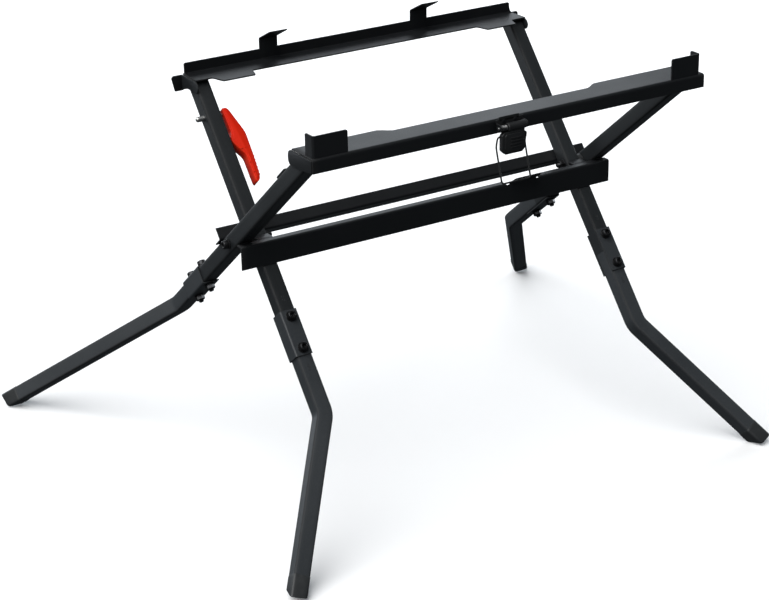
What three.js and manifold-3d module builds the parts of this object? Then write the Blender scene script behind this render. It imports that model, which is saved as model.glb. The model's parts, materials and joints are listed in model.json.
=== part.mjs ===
// Folding scissor stand for a bench saw: two welded frames cross at 90 degrees and fold flat on two
// pivot bolts. The inner frame carries the rear upper rail and the front lower rail, the outer frame
// carries the front upper rail and the rear lower rail. Bent lower legs are bolted on with channel
// sleeves. Millimetres, +Z up, X along the rails, -Y is the front, origin on the floor between the feet.
import * as THREE from 'three';
import { mergeVertices } from 'three/addons/utils/BufferGeometryUtils.js';
import Module from 'manifold-3d';

const wasm = await Module();
wasm.setup();

// ---- driving dimensions ----------------------------------------------------------------------
const TUBE = 25; // outside of the square leg tubes
const HALF = TUBE / 2;
const WALL = 1.5;
const CORNER = 3; // corner radius of the tube section
const INNER_X = 289; // centre of the inner frame's tubes
const SIDE_GAP = 9.2; // space between an inner and an outer tube, filled by the pivot spacer
const OUTER_X = INNER_X + TUBE + SIDE_GAP;
const PIVOT_Z = 405.5;
const INNER_TILT = THREE.MathUtils.degToRad(40); // inner tubes, measured from the vertical
const OUTER_TILT = THREE.MathUtils.degToRad(50);
const SHELF_Z = 208.3; // top of both upper rails, above the pivot
const SHEET = 2; // rail and bracket sheet
const GAP = 0.3; // space left between pieces that touch

const LEG_BEND = THREE.MathUtils.degToRad(30.2); // outward bend of each lower leg
const BEND_RADIUS = 34;
const CAP_WALL = 1.2;
const CAP_LENGTH = 26;
// Distances down the tube from the pivot; sole is the slope of the foot's sole across and up the leg.
const INNER_LEG = { bend: 285.6, joint: 159, bolts: [134, 184], end: 520.5, sole: [0.11, 0.64], up: -1 };
const OUTER_LEG = { bend: 268, joint: 166, bolts: [141, 191], end: 616, sole: [0.43, 0.26], up: 1 };
const SLEEVE_LENGTH = 72;
const SLEEVE_WALL = 2;

const FRONT_RAIL = { y: -266.1, end: 338, lip: 20.8, rear: -208.5, waist: -221.5 };
const REAR_RAIL = { y: 190.6, end: 303.8, lip: 16.2, front: 145.5, pad: 122.5 };
const LOWER_FRONT = { y: -42.6, top: 8.2, bottom: -28.5, end: 337.8, shelfRear: -29.6 };
const LOWER_REAR = { start: 15.5, leg: 19, end: 339 };

const PIN_R = 4.2; // fold lock pin
const LOCK_Z = 200; // lock pin, up the inner tube from the pivot
const LATCH_X = -19.5;

// ---- finishes --------------------------------------------------------------------------------
const finish = (color, roughness, metalness) => new THREE.MeshStandardMaterial({ color, roughness, metalness });
const powderCoat = finish(0x1d2124, 0.55, 0.2);
const railCoat = finish(0x2a2e31, 0.5, 0.2);
const blackPlastic = finish(0x141617, 0.6, 0.0);
const redPlastic = finish(0xe52e0e, 0.4, 0.0);
const zincPlate = finish(0xb9bdc0, 0.3, 0.9);
const springSteel = finish(0x8b8f92, 0.35, 0.9);
const nylon = finish(0x2c2e30, 0.5, 0.0);

// ---- shape helpers ---------------------------------------------------------------------------
/** Corner points of a rectangle with round corners, anticlockwise. */
function roundedRect(width, height, radius, steps) {
  const points = [];
  const centres = [[1, 1, 0], [-1, 1, 1], [-1, -1, 2], [1, -1, 3]];
  for (const [sx, sy, quarter] of centres) {
    for (let i = 0; i <= steps; i++) {
      const a = (quarter + i / steps) * Math.PI / 2;
      const x = sx * (width / 2 - radius) + radius * Math.cos(a);
      const y = sy * (height / 2 - radius) + radius * Math.sin(a);
      points.push(new THREE.Vector2(x, y));
    }
  }
  return points;
}

/** Square tube section with its hollow. */
function tubeSection() {
  const shape = new THREE.Shape(roundedRect(TUBE, TUBE, CORNER, 3));
  const bore = TUBE - 2 * WALL;
  shape.holes.push(new THREE.Path(roundedRect(bore, bore, CORNER - WALL, 2)));
  return shape;
}

/** A closed geometry as a solid that can be joined and cut. */
function solid(geometry) {
  const bare = geometry.clone();
  for (const name of Object.keys(bare.attributes)) {
    if (name !== 'position') bare.deleteAttribute(name);
  }
  const merged = mergeVertices(bare, 1e-3);
  const vertProperties = new Float32Array(merged.attributes.position.array);
  const triVerts = new Uint32Array(merged.index.array);
  return new wasm.Manifold(new wasm.Mesh({ numProp: 3, vertProperties, triVerts }));
}

/** The solid's surface as a geometry. */
function surface(body) {
  const mesh = body.getMesh();
  const geometry = new THREE.BufferGeometry();
  geometry.setAttribute('position', new THREE.BufferAttribute(new Float32Array(mesh.vertProperties), 3));
  geometry.setIndex(new THREE.BufferAttribute(new Uint32Array(mesh.triVerts), 1));
  geometry.computeVertexNormals();
  return geometry;
}

/** Flat plate: outline points in the YZ plane, from x0 to x1. */
function plateYZ(points, x0, x1) {
  const shape = new THREE.Shape(points.map(([y, z]) => new THREE.Vector2(y, z)));
  const geometry = new THREE.ExtrudeGeometry(shape, { depth: x1 - x0, bevelEnabled: false });
  const axes = new THREE.Matrix4().makeBasis(
    new THREE.Vector3(0, 1, 0), new THREE.Vector3(0, 0, 1), new THREE.Vector3(1, 0, 0));
  geometry.applyMatrix4(axes);
  geometry.translate(x0, 0, 0);
  return solid(geometry);
}

/** Flat plate: outline points in the XZ plane, from y0 to y1. */
function plateXZ(points, y0, y1) {
  const shape = new THREE.Shape(points.map(([x, z]) => new THREE.Vector2(x, z)));
  const geometry = new THREE.ExtrudeGeometry(shape, { depth: y1 - y0, bevelEnabled: false });
  geometry.rotateX(Math.PI / 2);
  geometry.translate(0, y1, 0);
  return solid(geometry);
}

/** Flat plate: outline points in the XY plane, from z0 to z1. */
function plateXY(points, z0, z1) {
  const shape = new THREE.Shape(points.map(([x, y]) => new THREE.Vector2(x, y)));
  const geometry = new THREE.ExtrudeGeometry(shape, { depth: z1 - z0, bevelEnabled: false });
  geometry.translate(0, 0, z0);
  return solid(geometry);
}

function box(x0, x1, y0, y1, z0, z1) {
  const geometry = new THREE.BoxGeometry(x1 - x0, y1 - y0, z1 - z0);
  geometry.translate((x0 + x1) / 2, (y0 + y1) / 2, (z0 + z1) / 2);
  return solid(geometry);
}

/** Round bar from a to b along one axis ('x', 'y' or 'z') through the point given by the other two. */
function bar(axis, a, b, radius, u, v, sides = 20) {
  const geometry = new THREE.CylinderGeometry(radius, radius, b - a, sides);
  const middle = (a + b) / 2;
  if (axis === 'x') {
    geometry.rotateZ(-Math.PI / 2);
    geometry.translate(middle, u, v);
  } else if (axis === 'y') {
    geometry.translate(u, middle, v);
  } else {
    geometry.rotateX(Math.PI / 2);
    geometry.translate(u, v, middle);
  }
  return solid(geometry);
}

/** Folded sheet section: a centre line in the YZ plane with a bend radius, given thickness. */
function foldedStrip(line, thickness, radius, x0, x1) {
  const left = [];
  const right = [];
  const add = (p, dir) => {
    const n = [-dir[1] * thickness / 2, dir[0] * thickness / 2];
    left.push([p[0] + n[0], p[1] + n[1]]);
    right.push([p[0] - n[0], p[1] - n[1]]);
  };
  const unit = (a, b) => {
    const length = Math.hypot(b[0] - a[0], b[1] - a[1]);
    return [(b[0] - a[0]) / length, (b[1] - a[1]) / length];
  };
  add(line[0], unit(line[0], line[1]));
  for (let i = 1; i < line.length - 1; i++) {
    const d0 = unit(line[i - 1], line[i]);
    const d1 = unit(line[i], line[i + 1]);
    const turn = Math.atan2(d0[0] * d1[1] - d0[1] * d1[0], d0[0] * d1[0] + d0[1] * d1[1]);
    const back = radius * Math.tan(Math.abs(turn) / 2);
    const start = [line[i][0] - d0[0] * back, line[i][1] - d0[1] * back];
    const side = Math.sign(turn);
    const centre = [start[0] - d0[1] * side * radius, start[1] + d0[0] * side * radius];
    const steps = 4;
    for (let k = 0; k <= steps; k++) {
      const a = turn * k / steps;
      const dir = [d0[0] * Math.cos(a) - d0[1] * Math.sin(a), d0[0] * Math.sin(a) + d0[1] * Math.cos(a)];
      add([centre[0] + dir[1] * side * radius, centre[1] - dir[0] * side * radius], dir);
    }
  }
  const n = line.length;
  add(line[n - 1], unit(line[n - 2], line[n - 1]));
  return plateYZ([...right, ...left.reverse()], x0, x1);
}

/** Points of an arc in a plane, both ends included. */
function arc(cx, cy, radius, from, to, steps) {
  const points = [];
  for (let i = 0; i <= steps; i++) {
    const a = THREE.MathUtils.degToRad(from + (to - from) * i / steps);
    points.push([cx + radius * Math.cos(a), cy + radius * Math.sin(a)]);
  }
  return points;
}

/** A path given by its stations, so that straight runs take one step and bends take many. */
class StationPath extends THREE.Curve {
  constructor(points, tangents) {
    super();
    this.points = points;
    this.tangents = tangents;
  }
  getPointAt(u) {
    return this.points[Math.round(u * (this.points.length - 1))].clone();
  }
  getTangentAt(u) {
    return this.tangents[Math.round(u * (this.points.length - 1))].clone();
  }
}

/** A section carried along the stations of a path. */
function sweep(section, points, tangents) {
  const extrudePath = new StationPath(points, tangents);
  const steps = points.length - 1;
  return solid(new THREE.ExtrudeGeometry(section, { steps, extrudePath, bevelEnabled: false }));
}

// ---- scene graph -----------------------------------------------------------------------------
const stand = new THREE.Group();
const pivotGroup = new THREE.Group();
pivotGroup.position.z = PIVOT_Z;
stand.add(pivotGroup);
const innerFrame = new THREE.Group(); // local z runs up the inner tubes, -y faces the front and up
innerFrame.rotation.x = -INNER_TILT;
const outerFrame = new THREE.Group(); // local z runs up the outer tubes, +y faces the back and up
outerFrame.rotation.x = OUTER_TILT;
pivotGroup.add(innerFrame, outerFrame);

function addPiece(parent, name, body, material) {
  const mesh = new THREE.Mesh(surface(body), material);
  mesh.name = name;
  parent.add(mesh);
}

/** A solid drawn in the level axes of the pivot, turned into a tilted frame's own axes. */
function intoFrame(body, tilt) {
  return body.rotate([THREE.MathUtils.radToDeg(-tilt), 0, 0]);
}

// ---- leg tubes, sleeves, lower legs and feet -------------------------------------------------
/** Upper tube: straight, cut level under its rail, drilled for the pivot and one sleeve bolt. */
function upperTube(x, tilt, leg, cuts) {
  const top = 340;
  const section = new THREE.ExtrudeGeometry(tubeSection(), { depth: top + leg.joint - GAP / 2, bevelEnabled: false });
  section.translate(x, 0, -leg.joint + GAP / 2);
  let tube = solid(section);
  const cutter = intoFrame(box(-500, 500, -600, 600, SHELF_Z - SHEET - GAP, 600), tilt);
  tube = tube.subtract(cutter);
  tube = tube.subtract(bar('x', x - 20, x + 20, 4.3, 0, 0));
  tube = tube.subtract(bar('y', -20, 20, 4.3, x, -leg.bolts[0]));
  for (const cut of cuts) tube = tube.subtract(cut);
  return tube;
}

/** Centre line of a lower leg, bent outwards to the given side. */
function legStations(x, side, leg, from, length) {
  const points = [new THREE.Vector3(x, 0, -from)];
  const tangents = [new THREE.Vector3(0, 0, -1)];
  const tangentLength = BEND_RADIUS * Math.tan(LEG_BEND / 2);
  const steps = 6;
  for (let i = 0; i <= steps; i++) {
    const a = LEG_BEND * i / steps;
    const out = BEND_RADIUS * (1 - Math.cos(a));
    const down = leg.bend - tangentLength + BEND_RADIUS * Math.sin(a);
    points.push(new THREE.Vector3(x + side * out, 0, -down));
    tangents.push(new THREE.Vector3(side * Math.sin(a), 0, -Math.cos(a)));
  }
  const run = (leg.end - leg.bend) / Math.cos(LEG_BEND) + length;
  const end = new THREE.Vector3(x + side * run * Math.sin(LEG_BEND), 0, -leg.bend - run * Math.cos(LEG_BEND));
  points.push(end);
  tangents.push(new THREE.Vector3(side * Math.sin(LEG_BEND), 0, -Math.cos(LEG_BEND)));
  return { points, tangents, end };
}

/** Everything below the foot's slanting sole, as a cutter, raised along the leg by lift. */
function soleCutter(x, side, leg, lift) {
  const { tangents, end } = legStations(x, side, leg, leg.joint, 0);
  const down = tangents[tangents.length - 1];
  const [across, along] = leg.sole;
  const out = new THREE.Vector3(-side * down.z, 0, side * down.x).addScaledVector(down, across);
  const up = new THREE.Vector3(0, leg.up, 0).addScaledVector(down, along);
  const frame = new THREE.Matrix4().makeBasis(out, up, down).setPosition(end);
  return box(-40, 40, -40, 40, -lift, 80).transform(frame.elements);
}

function lowerLeg(x, side, leg) {
  const { points, tangents } = legStations(x, side, leg, leg.joint + GAP / 2, 40);
  const tube = sweep(tubeSection(), points, tangents);
  const drilled = tube.subtract(bar('y', -20, 20, 4.3, x, -leg.bolts[1]));
  return drilled.subtract(soleCutter(x, side, leg, CAP_WALL + GAP));
}

/** Plastic foot: a cap with a closed sole that covers the last stretch of the leg. */
function footCap(x, side, leg) {
  const { points, tangents } = legStations(x, side, leg, leg.joint, 40);
  const { end } = legStations(x, side, leg, leg.joint, -CAP_LENGTH);
  const last = points.length - 1;
  const ends = [end, points[last]];
  const way = [tangents[last], tangents[last]];
  const width = TUBE + 2 * (CAP_WALL + GAP);
  const outer = sweep(new THREE.Shape(roundedRect(width, width, CORNER + 1, 3)), ends, way);
  const inner = TUBE + 2 * GAP;
  const hollow = sweep(new THREE.Shape(roundedRect(inner, inner, CORNER, 3)), [end.clone().addScaledVector(way[0], -1),
    points[last]], way).subtract(soleCutter(x, side, leg, CAP_WALL));
  return outer.subtract(hollow).subtract(soleCutter(x, side, leg, 0));
}

/** Channel sleeve: web on the outside of the joint, two flanges, open towards the middle. */
function sleeve(x, side, leg) {
  const near = HALF + GAP;
  const far = near + SLEEVE_WALL;
  const middle = (leg.bolts[0] + leg.bolts[1]) / 2;
  const [z0, z1] = [-middle - SLEEVE_LENGTH / 2, -middle + SLEEVE_LENGTH / 2];
  const turn = foldedChannel(near, far);
  let body = plateXY(turn.map(([u, v]) => [x + side * u, v]), z0, z1);
  for (const bolt of leg.bolts) body = body.subtract(bar('y', -20, 20, 4.3, x, -bolt));
  return body;
}

/** Channel section with round outer corners: u points outwards, v across. */
function foldedChannel(near, far) {
  const open = -13;
  const r = 3;
  const points = [[open, -far]];
  points.push(...arc(far - r, -far + r, r, -90, 0, 4));
  points.push(...arc(far - r, far - r, r, 0, 90, 4));
  points.push([open, far], [open, near], [near, near], [near, -near], [open, -near]);
  return points;
}

// ---- fasteners -------------------------------------------------------------------------------
/** Socket head screw with its washer, head at +z, shank down to -length, in its own axes. */
function socketScrew(length) {
  const profile = [[0, -length], [3.2, -length], [4, -length + 0.8], [4, 0], [8, 0], [8, 1.5], [6.5, 1.5],
    [6.5, 8.6], [5.7, 9.5], [0, 9.5]];
  const lathe = new THREE.LatheGeometry(profile.map(([r, z]) => new THREE.Vector2(r, z)), 20);
  lathe.rotateX(Math.PI / 2);
  const socket = new THREE.CylinderGeometry(3.5, 3.5, 9, 6);
  socket.rotateX(Math.PI / 2);
  socket.translate(0, 0, 9.5);
  return solid(lathe).subtract(solid(socket));
}

/** Hexagon nut with its washer under it, seat at z = 0, growing to +z. */
function hexNut() {
  const nut = new THREE.CylinderGeometry(7.5, 7.5, 6.5, 6);
  nut.rotateX(Math.PI / 2);
  nut.translate(0, 0, 4.7);
  const washer = new THREE.CylinderGeometry(8, 8, 1.5, 20);
  washer.rotateX(Math.PI / 2);
  washer.translate(0, 0, 0.75);
  return solid(nut).add(solid(washer)).subtract(bar('z', -5, 12, 4.3, 0, 0));
}

/** Place a fastener drawn along +z so that it points along +y or -y at x, y, z. */
function pointY(body, sign, x, y, z) {
  return body.rotate([sign > 0 ? -90 : 90, 0, 0]).translate([x, y, z]);
}

/** Place a fastener drawn along +z so that it points along +x or -x at x. */
function pointX(body, sign, x) {
  return body.rotate([0, sign > 0 ? 90 : -90, 0]).translate([x, 0, 0]);
}

const SEAT = HALF + GAP + SLEEVE_WALL + GAP; // outer face of a sleeve flange, where a washer seats
const sides = [['left', -1], ['right', 1]];

function buildLegs(group, prefix, halfX, tilt, leg, headSide, cutsFor) {
  for (const [word, side] of sides) {
    const x = side * halfX;
    addPiece(group, `${prefix}_tube_${word}`, upperTube(x, tilt, leg, cutsFor(side)), powderCoat);
    addPiece(group, `${prefix}_sleeve_${word}`, sleeve(x, side, leg), powderCoat);
    addPiece(group, `${prefix}_leg_${word}`, lowerLeg(x, side, leg), powderCoat);
    addPiece(group, `${prefix}_foot_${word}`, footCap(x, side, leg), blackPlastic);
    for (const [place, z] of [['upper', -leg.bolts[0]], ['lower', -leg.bolts[1]]]) {
      const screw = pointY(socketScrew(2 * SEAT + 11), headSide, x, headSide * SEAT, z);
      addPiece(group, `${prefix}_bolt_${word}_${place}`, screw, zincPlate);
      const nut = pointY(hexNut(), -headSide, x, -headSide * SEAT, z);
      addPiece(group, `${prefix}_nut_${word}_${place}`, nut, zincPlate);
    }
  }
}

// Inner frame: the lock pin passes through the left tube. Outer frame: its hole is in the inner wall.
const lockBore = bar('x', -INNER_X - 20, -INNER_X + 20, PIN_R + GAP, 0, LOCK_Z);
const keeperBore = bar('x', -OUTER_X, -OUTER_X + 20, PIN_R + 1, 0, LOCK_Z);
const lipCut = intoFrame(box(-500, 500, -600, FRONT_RAIL.y + SHEET + GAP, 0, 600), OUTER_TILT);
buildLegs(innerFrame, 'inner', INNER_X, -INNER_TILT, INNER_LEG, -1, (side) => (side < 0 ? [lockBore] : []));
buildLegs(outerFrame, 'outer', OUTER_X, OUTER_TILT, OUTER_LEG, 1,
  (side) => (side < 0 ? [lipCut, keeperBore] : [lipCut]));

// ---- pivots ----------------------------------------------------------------------------------
for (const [word, side] of sides) {
  const outerFace = side * (OUTER_X + HALF + GAP);
  const innerFace = side * (INNER_X - HALF - GAP);
  const span = TUBE * 2 + SIDE_GAP + 2 * GAP;
  addPiece(pivotGroup, `pivot_bolt_${word}`, pointX(socketScrew(span + 12), side, outerFace), zincPlate);
  addPiece(pivotGroup, `pivot_nut_${word}`, pointX(hexNut(), -side, innerFace), zincPlate);
  const from = INNER_X + HALF + GAP;
  const to = OUTER_X - HALF - GAP;
  const ring = bar('x', from, to, 11, 0, 0, 24).subtract(bar('x', from - 1, to + 1, 4.4, 0, 0, 24));
  addPiece(pivotGroup, `pivot_spacer_${word}`, side < 0 ? ring.mirror([1, 0, 0]) : ring, nylon);
}

// ---- rear upper rail -------------------------------------------------------------------------
/** Angle rail: shelf with a standing rear flange, two rest pads and two forward hooks. */
function rearUpperRail() {
  const { y, end, lip, front, pad } = REAR_RAIL;
  const mid = SHELF_Z - SHEET / 2;
  const line = [[front, mid], [y - SHEET / 2, mid], [y - SHEET / 2, SHELF_Z + lip]];
  let rail = foldedStrip(line, SHEET, 2, -end, end);
  for (const x of [-end - 1, end + 1]) {
    rail = rail.subtract(box(x - 7, x + 7, y - 4, y + 1, SHELF_Z, SHELF_Z + 40));
  }
  for (const side of [-1, 1]) {
    const outline = [[275.5, front + 2], [267, pad + 2], [264, pad], [216, pad], [213, pad + 2], [206, front + 2]];
    const points = outline.map(([px, py]) => [side * px, py]);
    rail = rail.add(plateXY(side > 0 ? points.reverse() : points, SHELF_Z - SHEET, SHELF_Z));
  }
  const hook = [[y - 1, SHELF_Z + 6], [y - 1, SHELF_Z + 33], [y - 36, SHELF_Z + 50.5]];
  for (const x of [-154, 122]) rail = rail.add(foldedStrip(hook, SHEET, 2.5, x - 16, x + 16));
  return rail;
}

/** Rail bracket on the outside of the tube's top, with a rear tab that stops the fold. */
function rearBracket(side) {
  const [x0, x1] = [INNER_X + HALF + GAP, REAR_RAIL.end];
  const low = SHELF_Z - 27;
  const top = SHELF_Z - SHEET - GAP;
  const outline = [[194, low], [194, top], [144, top], ...arc(147, top - 9.5, 9.5, 110, 250, 6)];
  outline.push([172, SHELF_Z - 20], [182, SHELF_Z - 22.5], [187, low]);
  const plate = plateYZ(outline.reverse(), x0, x1);
  const tab = [[x0, low], [316, low], ...arc(317, top - 6, 4, 0, 90, 4), [x0, top - 2]];
  const body = plate.add(plateXZ(tab, 192, 194));
  return side < 0 ? body.mirror([1, 0, 0]) : body;
}

// ---- front upper rail ------------------------------------------------------------------------
/** Angle rail: shelf with a front lip turned down and two upstanding corner stops. */
function frontUpperRail() {
  const { y, end, lip, rear, waist } = FRONT_RAIL;
  const mid = SHELF_Z - SHEET / 2;
  const line = [[y + SHEET / 2, SHELF_Z - lip], [y + SHEET / 2, mid], [waist, mid]];
  let rail = foldedStrip(line, SHEET, 2, -end, end);
  const step = 2;
  const left = [[-end, waist - step], [-181, waist - step], [-181, waist], [-204, rear], [-end, rear]];
  const right = [[151, waist - step], [end, waist - step], [end, rear], [176, rear], [151, waist]];
  rail = rail.add(plateXY(left, SHELF_Z - SHEET, SHELF_Z));
  rail = rail.add(plateXY(right, SHELF_Z - SHEET, SHELF_Z));
  const top = SHELF_Z + 31.4;
  for (const [x0, x1, cornerX] of [[-end, -283, -end], [273.5, 327, 325]]) {
    rail = rail.add(box(x0, x1, y, y + SHEET, SHELF_Z - 6, top));
    rail = rail.add(box(cornerX, cornerX + SHEET, y, y + 22, SHELF_Z - 1, top));
  }
  return rail;
}

/** Rail bracket on the outside of the outer tube's top, with a rounded rear ear. */
function frontBracket(side) {
  const [x0, x1] = [OUTER_X + HALF + GAP, FRONT_RAIL.end];
  const low = SHELF_Z - 25;
  const top = SHELF_Z - SHEET - GAP;
  const frontY = FRONT_RAIL.y + SHEET + GAP;
  const outline = [[frontY, top], [frontY, SHELF_Z - FRONT_RAIL.lip], [-226, low]];
  outline.push(...arc(-210.5, low + 11.3, 11.3, -90, 90, 8), [-210.5, top]);
  const plate = plateYZ(outline, x0, x1);
  return side < 0 ? plate.mirror([1, 0, 0]) : plate;
}

// ---- lower rails -----------------------------------------------------------------------------
/** Front cross rail: deep front web, narrow top flange, ears to the inner tubes, one hook lip. */
function frontLowerRail() {
  const { y, top, bottom, end, shelfRear } = LOWER_FRONT;
  const line = [[y + SHEET / 2, bottom], [y + SHEET / 2, top - SHEET / 2], [shelfRear, top - SHEET / 2]];
  let rail = foldedStrip(line, SHEET, 2, -end, end);
  for (const side of [-1, 1]) {
    const x0 = side * INNER_X - HALF;
    rail = rail.add(box(x0, x0 + TUBE, shelfRear - 2, -12, top - SHEET, top));
  }
  const [lipLeft, lipRight] = [141, 192];
  const reliefR = 5.5;
  rail = rail.subtract(box(lipLeft, lipRight, y + SHEET + 0.5, shelfRear + 1, top - 6, top + 5));
  rail = rail.subtract(box(lipLeft, lipRight, y - 1, shelfRear + 1, top - 3.5, top + 5));
  const lip = [[y + SHEET / 2, top - 8], [y + SHEET / 2, top], [y - 19, top + 13.5]];
  rail = rail.add(foldedStrip(lip, SHEET, 2.5, lipLeft, lipRight));
  for (const x of [lipLeft - 3, lipRight + 3]) {
    rail = rail.subtract(bar('y', y - 2, shelfRear + 3, reliefR, x, top, 20));
  }
  return rail;
}

/** Rear cross rail: equal angle lying in the rear notch of the crossing, flat on the outer tubes. */
function rearLowerRail() {
  const { start, leg, end } = LOWER_REAR;
  const seat = HALF + GAP;
  const corner = -start - SHEET / 2;
  const line = [[seat + leg + 1, corner], [seat + SHEET / 2, corner], [seat + SHEET / 2, -start - leg - 1]];
  return foldedStrip(line, SHEET, 2.2, -end, end);
}

addPiece(pivotGroup, 'rear_upper_rail', rearUpperRail(), railCoat);
addPiece(pivotGroup, 'front_upper_rail', frontUpperRail(), railCoat);
addPiece(pivotGroup, 'front_lower_rail', frontLowerRail(), railCoat);
addPiece(outerFrame, 'rear_lower_rail', rearLowerRail(), railCoat);
for (const [word, side] of sides) {
  addPiece(pivotGroup, `rear_rail_bracket_${word}`, rearBracket(side), powderCoat);
  addPiece(pivotGroup, `front_rail_bracket_${word}`, frontBracket(side), powderCoat);
}

// ---- fold lock: red rocker lever, pin, fulcrum and spring, on the inner left tube ------------
const LEVER_FACE = -INNER_X + HALF; // inner face of the tube that the lever lies against
const LEVER_TOP = 207;
const LEVER_HALF_DEPTH = 9;
const FULCRUM = { s: 52, v: 10 }; // down from the lever's top, and out from the tube

/** Rocker lever outline: s runs down the tube, v away from it. */
function lockLever() {
  const outline = [[0, 5], [0, 12], [2, 14.5], [44, 28.6], [80, 28], [114, 26.2], [122, 24], [126, 19], [125, 17],
    [80, 16.8], [60, 4.5], [56, 2.5], [49, 2.5], [40, 6]];
  const points = outline.map(([s, v]) => [LEVER_FACE + v, LEVER_TOP - s]);
  let lever = plateXZ(points, -LEVER_HALF_DEPTH, LEVER_HALF_DEPTH);
  const [px, pz] = [LEVER_FACE + FULCRUM.v, LEVER_TOP - FULCRUM.s];
  lever = lever.subtract(box(LEVER_FACE, px + 8, -2.8, 2.8, pz - 9, pz + 9));
  lever = lever.subtract(bar('y', -20, 20, 2.4, px, pz, 16));
  lever = lever.subtract(bar('x', LEVER_FACE, LEVER_FACE + 12, 5.2, 0, LOCK_Z));
  for (const s of [92, 99, 106, 113]) {
    lever = lever.subtract(box(LEVER_FACE + 25.6, LEVER_FACE + 40, -7, 7, LEVER_TOP - s - 1.4, LEVER_TOP - s + 1.4));
  }
  return lever;
}

function lockFulcrum() {
  const [px, pz] = [LEVER_FACE + FULCRUM.v, LEVER_TOP - FULCRUM.s];
  const round = arc(px, pz, 5.5, -80, 80, 8);
  const lug = plateXZ([[LEVER_FACE + GAP, pz - 6.5], ...round, [LEVER_FACE + GAP, pz + 6.5]], -2.4, 2.4);
  return lug.subtract(bar('y', -20, 20, 2.4, px, pz, 16));
}

function lockPin() {
  const tip = -INNER_X - HALF - 13;
  const end = LEVER_FACE + 10;
  const waist = LEVER_FACE + 0.5;
  const profile = [[0, tip], [2.4, tip], [PIN_R, tip + 2], [PIN_R, waist], [2.5, waist], [2.5, end], [0, end]];
  const lathe = new THREE.LatheGeometry(profile.map(([r, x]) => new THREE.Vector2(r, x)), 24);
  lathe.rotateZ(-Math.PI / 2);
  lathe.translate(0, 0, LOCK_Z);
  return solid(lathe).add(bar('x', -INNER_X - 10, -INNER_X - 8.5, 8, 0, LOCK_Z, 24));
}

/** Compression spring round the lock pin, drawn at its working length. */
function lockSpring() {
  const turns = 4;
  const steps = 56;
  const radius = 6.4;
  const [from, to] = [-INNER_X + 0.8, -INNER_X + HALF - WALL - 1.2];
  const points = [];
  const tangents = [];
  for (let i = 0; i <= steps; i++) {
    const a = 2 * Math.PI * turns * i / steps;
    const x = from + (to - from) * i / steps;
    points.push(new THREE.Vector3(x, radius * Math.cos(a), LOCK_Z + radius * Math.sin(a)));
    const pitch = (to - from) / (2 * Math.PI * turns);
    tangents.push(new THREE.Vector3(pitch, -radius * Math.sin(a), radius * Math.cos(a)).normalize());
  }
  const wire = new THREE.Shape(arc(0, 0, 0.8, 0, 300, 5).map(([u, v]) => new THREE.Vector2(u, v)));
  return sweep(wire, points, tangents);
}

addPiece(innerFrame, 'lock_lever', lockLever(), redPlastic);
addPiece(innerFrame, 'lock_lever_lug', lockFulcrum(), powderCoat);
addPiece(innerFrame, 'lock_lever_pin',
  bar('y', -LEVER_HALF_DEPTH + 0.4, LEVER_HALF_DEPTH - 0.4, 2, LEVER_FACE + FULCRUM.v, LEVER_TOP - FULCRUM.s, 16),
  zincPlate);
addPiece(innerFrame, 'lock_pin', lockPin(), zincPlate);
addPiece(innerFrame, 'lock_spring', lockSpring(), springSteel);

// ---- draw latch on the lip of the front upper rail -------------------------------------------
const LATCH = { y: FRONT_RAIL.y - 9.5, z: SHELF_Z - 11, pinR: 2, barrelR: 6 };
const LATCH_FACE = FRONT_RAIL.y - GAP;

function latchBase() {
  const [x0, x1] = [LATCH_X - 22, LATCH_X + 24.5];
  const rivets = [LATCH_X - 9, LATCH_X + 11];
  let base = box(x0, x1, LATCH_FACE - 1.5, LATCH_FACE, SHELF_Z - 19.5, SHELF_Z - 0.5);
  base = base.add(box(LATCH_X - 17, LATCH_X + 17, LATCH_FACE - 1.5, LATCH_FACE, SHELF_Z - 3, SHELF_Z + 3));
  for (const [a, b] of [[x0, x0 + 1.8], [x1 - 1.8, x1]]) {
    const outline = [[LATCH_FACE, LATCH.z - 6], [LATCH_FACE, LATCH.z + 6], ...arc(LATCH.y, LATCH.z, 5, 90, 270, 8)];
    base = base.add(plateYZ(outline, a, b));
  }
  base = base.subtract(bar('x', x0 - 1, x1 + 1, LATCH.pinR + GAP, LATCH.y, LATCH.z, 16));
  for (const x of rivets) base = base.subtract(bar('y', LATCH_FACE - 3, LATCH_FACE + 1, 2.3, x, SHELF_Z - 4, 16));
  return base;
}

/** Lever: a barrel on the hinge pin and a ribbed paddle that hangs from it. */
function latchLever() {
  const [x0, x1] = [LATCH_X - 8.5, LATCH_X + 22.3];
  const [p0, p1] = [LATCH_X - 19.8, LATCH_X + 20.8];
  const back = LATCH.y + 5;
  const face = LATCH.y - 5.5;
  const low = LATCH.z - 39;
  let lever = bar('x', x0, x1, LATCH.barrelR, LATCH.y, LATCH.z, 24);
  const paddle = [[back - 1, LATCH.z - 7], [face + 1.5, LATCH.z - 7], [face, LATCH.z - 10], [face, low + 5],
    [face + 4, low], [back - 2, low], [back, low + 3], [back, LATCH.z - 9]];
  lever = lever.add(plateYZ(paddle, p0, p1));
  lever = lever.add(box(x0 + 2, x1 - 3, LATCH.y - 3.5, LATCH.y + 3, LATCH.z - 8, LATCH.z - 3));
  for (const drop of [14.5, 20, 25.5, 31]) {
    lever = lever.add(bar('x', p0 + 6, p1 - 4, 1.5, face + 0.3, LATCH.z - drop, 8));
  }
  lever = lever.subtract(bar('x', x0 - 1, x1 + 1, LATCH.pinR + GAP, LATCH.y, LATCH.z, 16));
  for (const [a, b] of [[p0 - 1, p0 + 4], [p1 - 4, p1 + 1]]) {
    lever = lever.subtract(bar('x', a, b, 1.6, LATCH.y, LATCH.z - BAIL.drop, 12));
  }
  return lever;
}

const BAIL = { drop: 12, half: 24.7, wireR: 1.2, reach: 64 };

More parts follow.
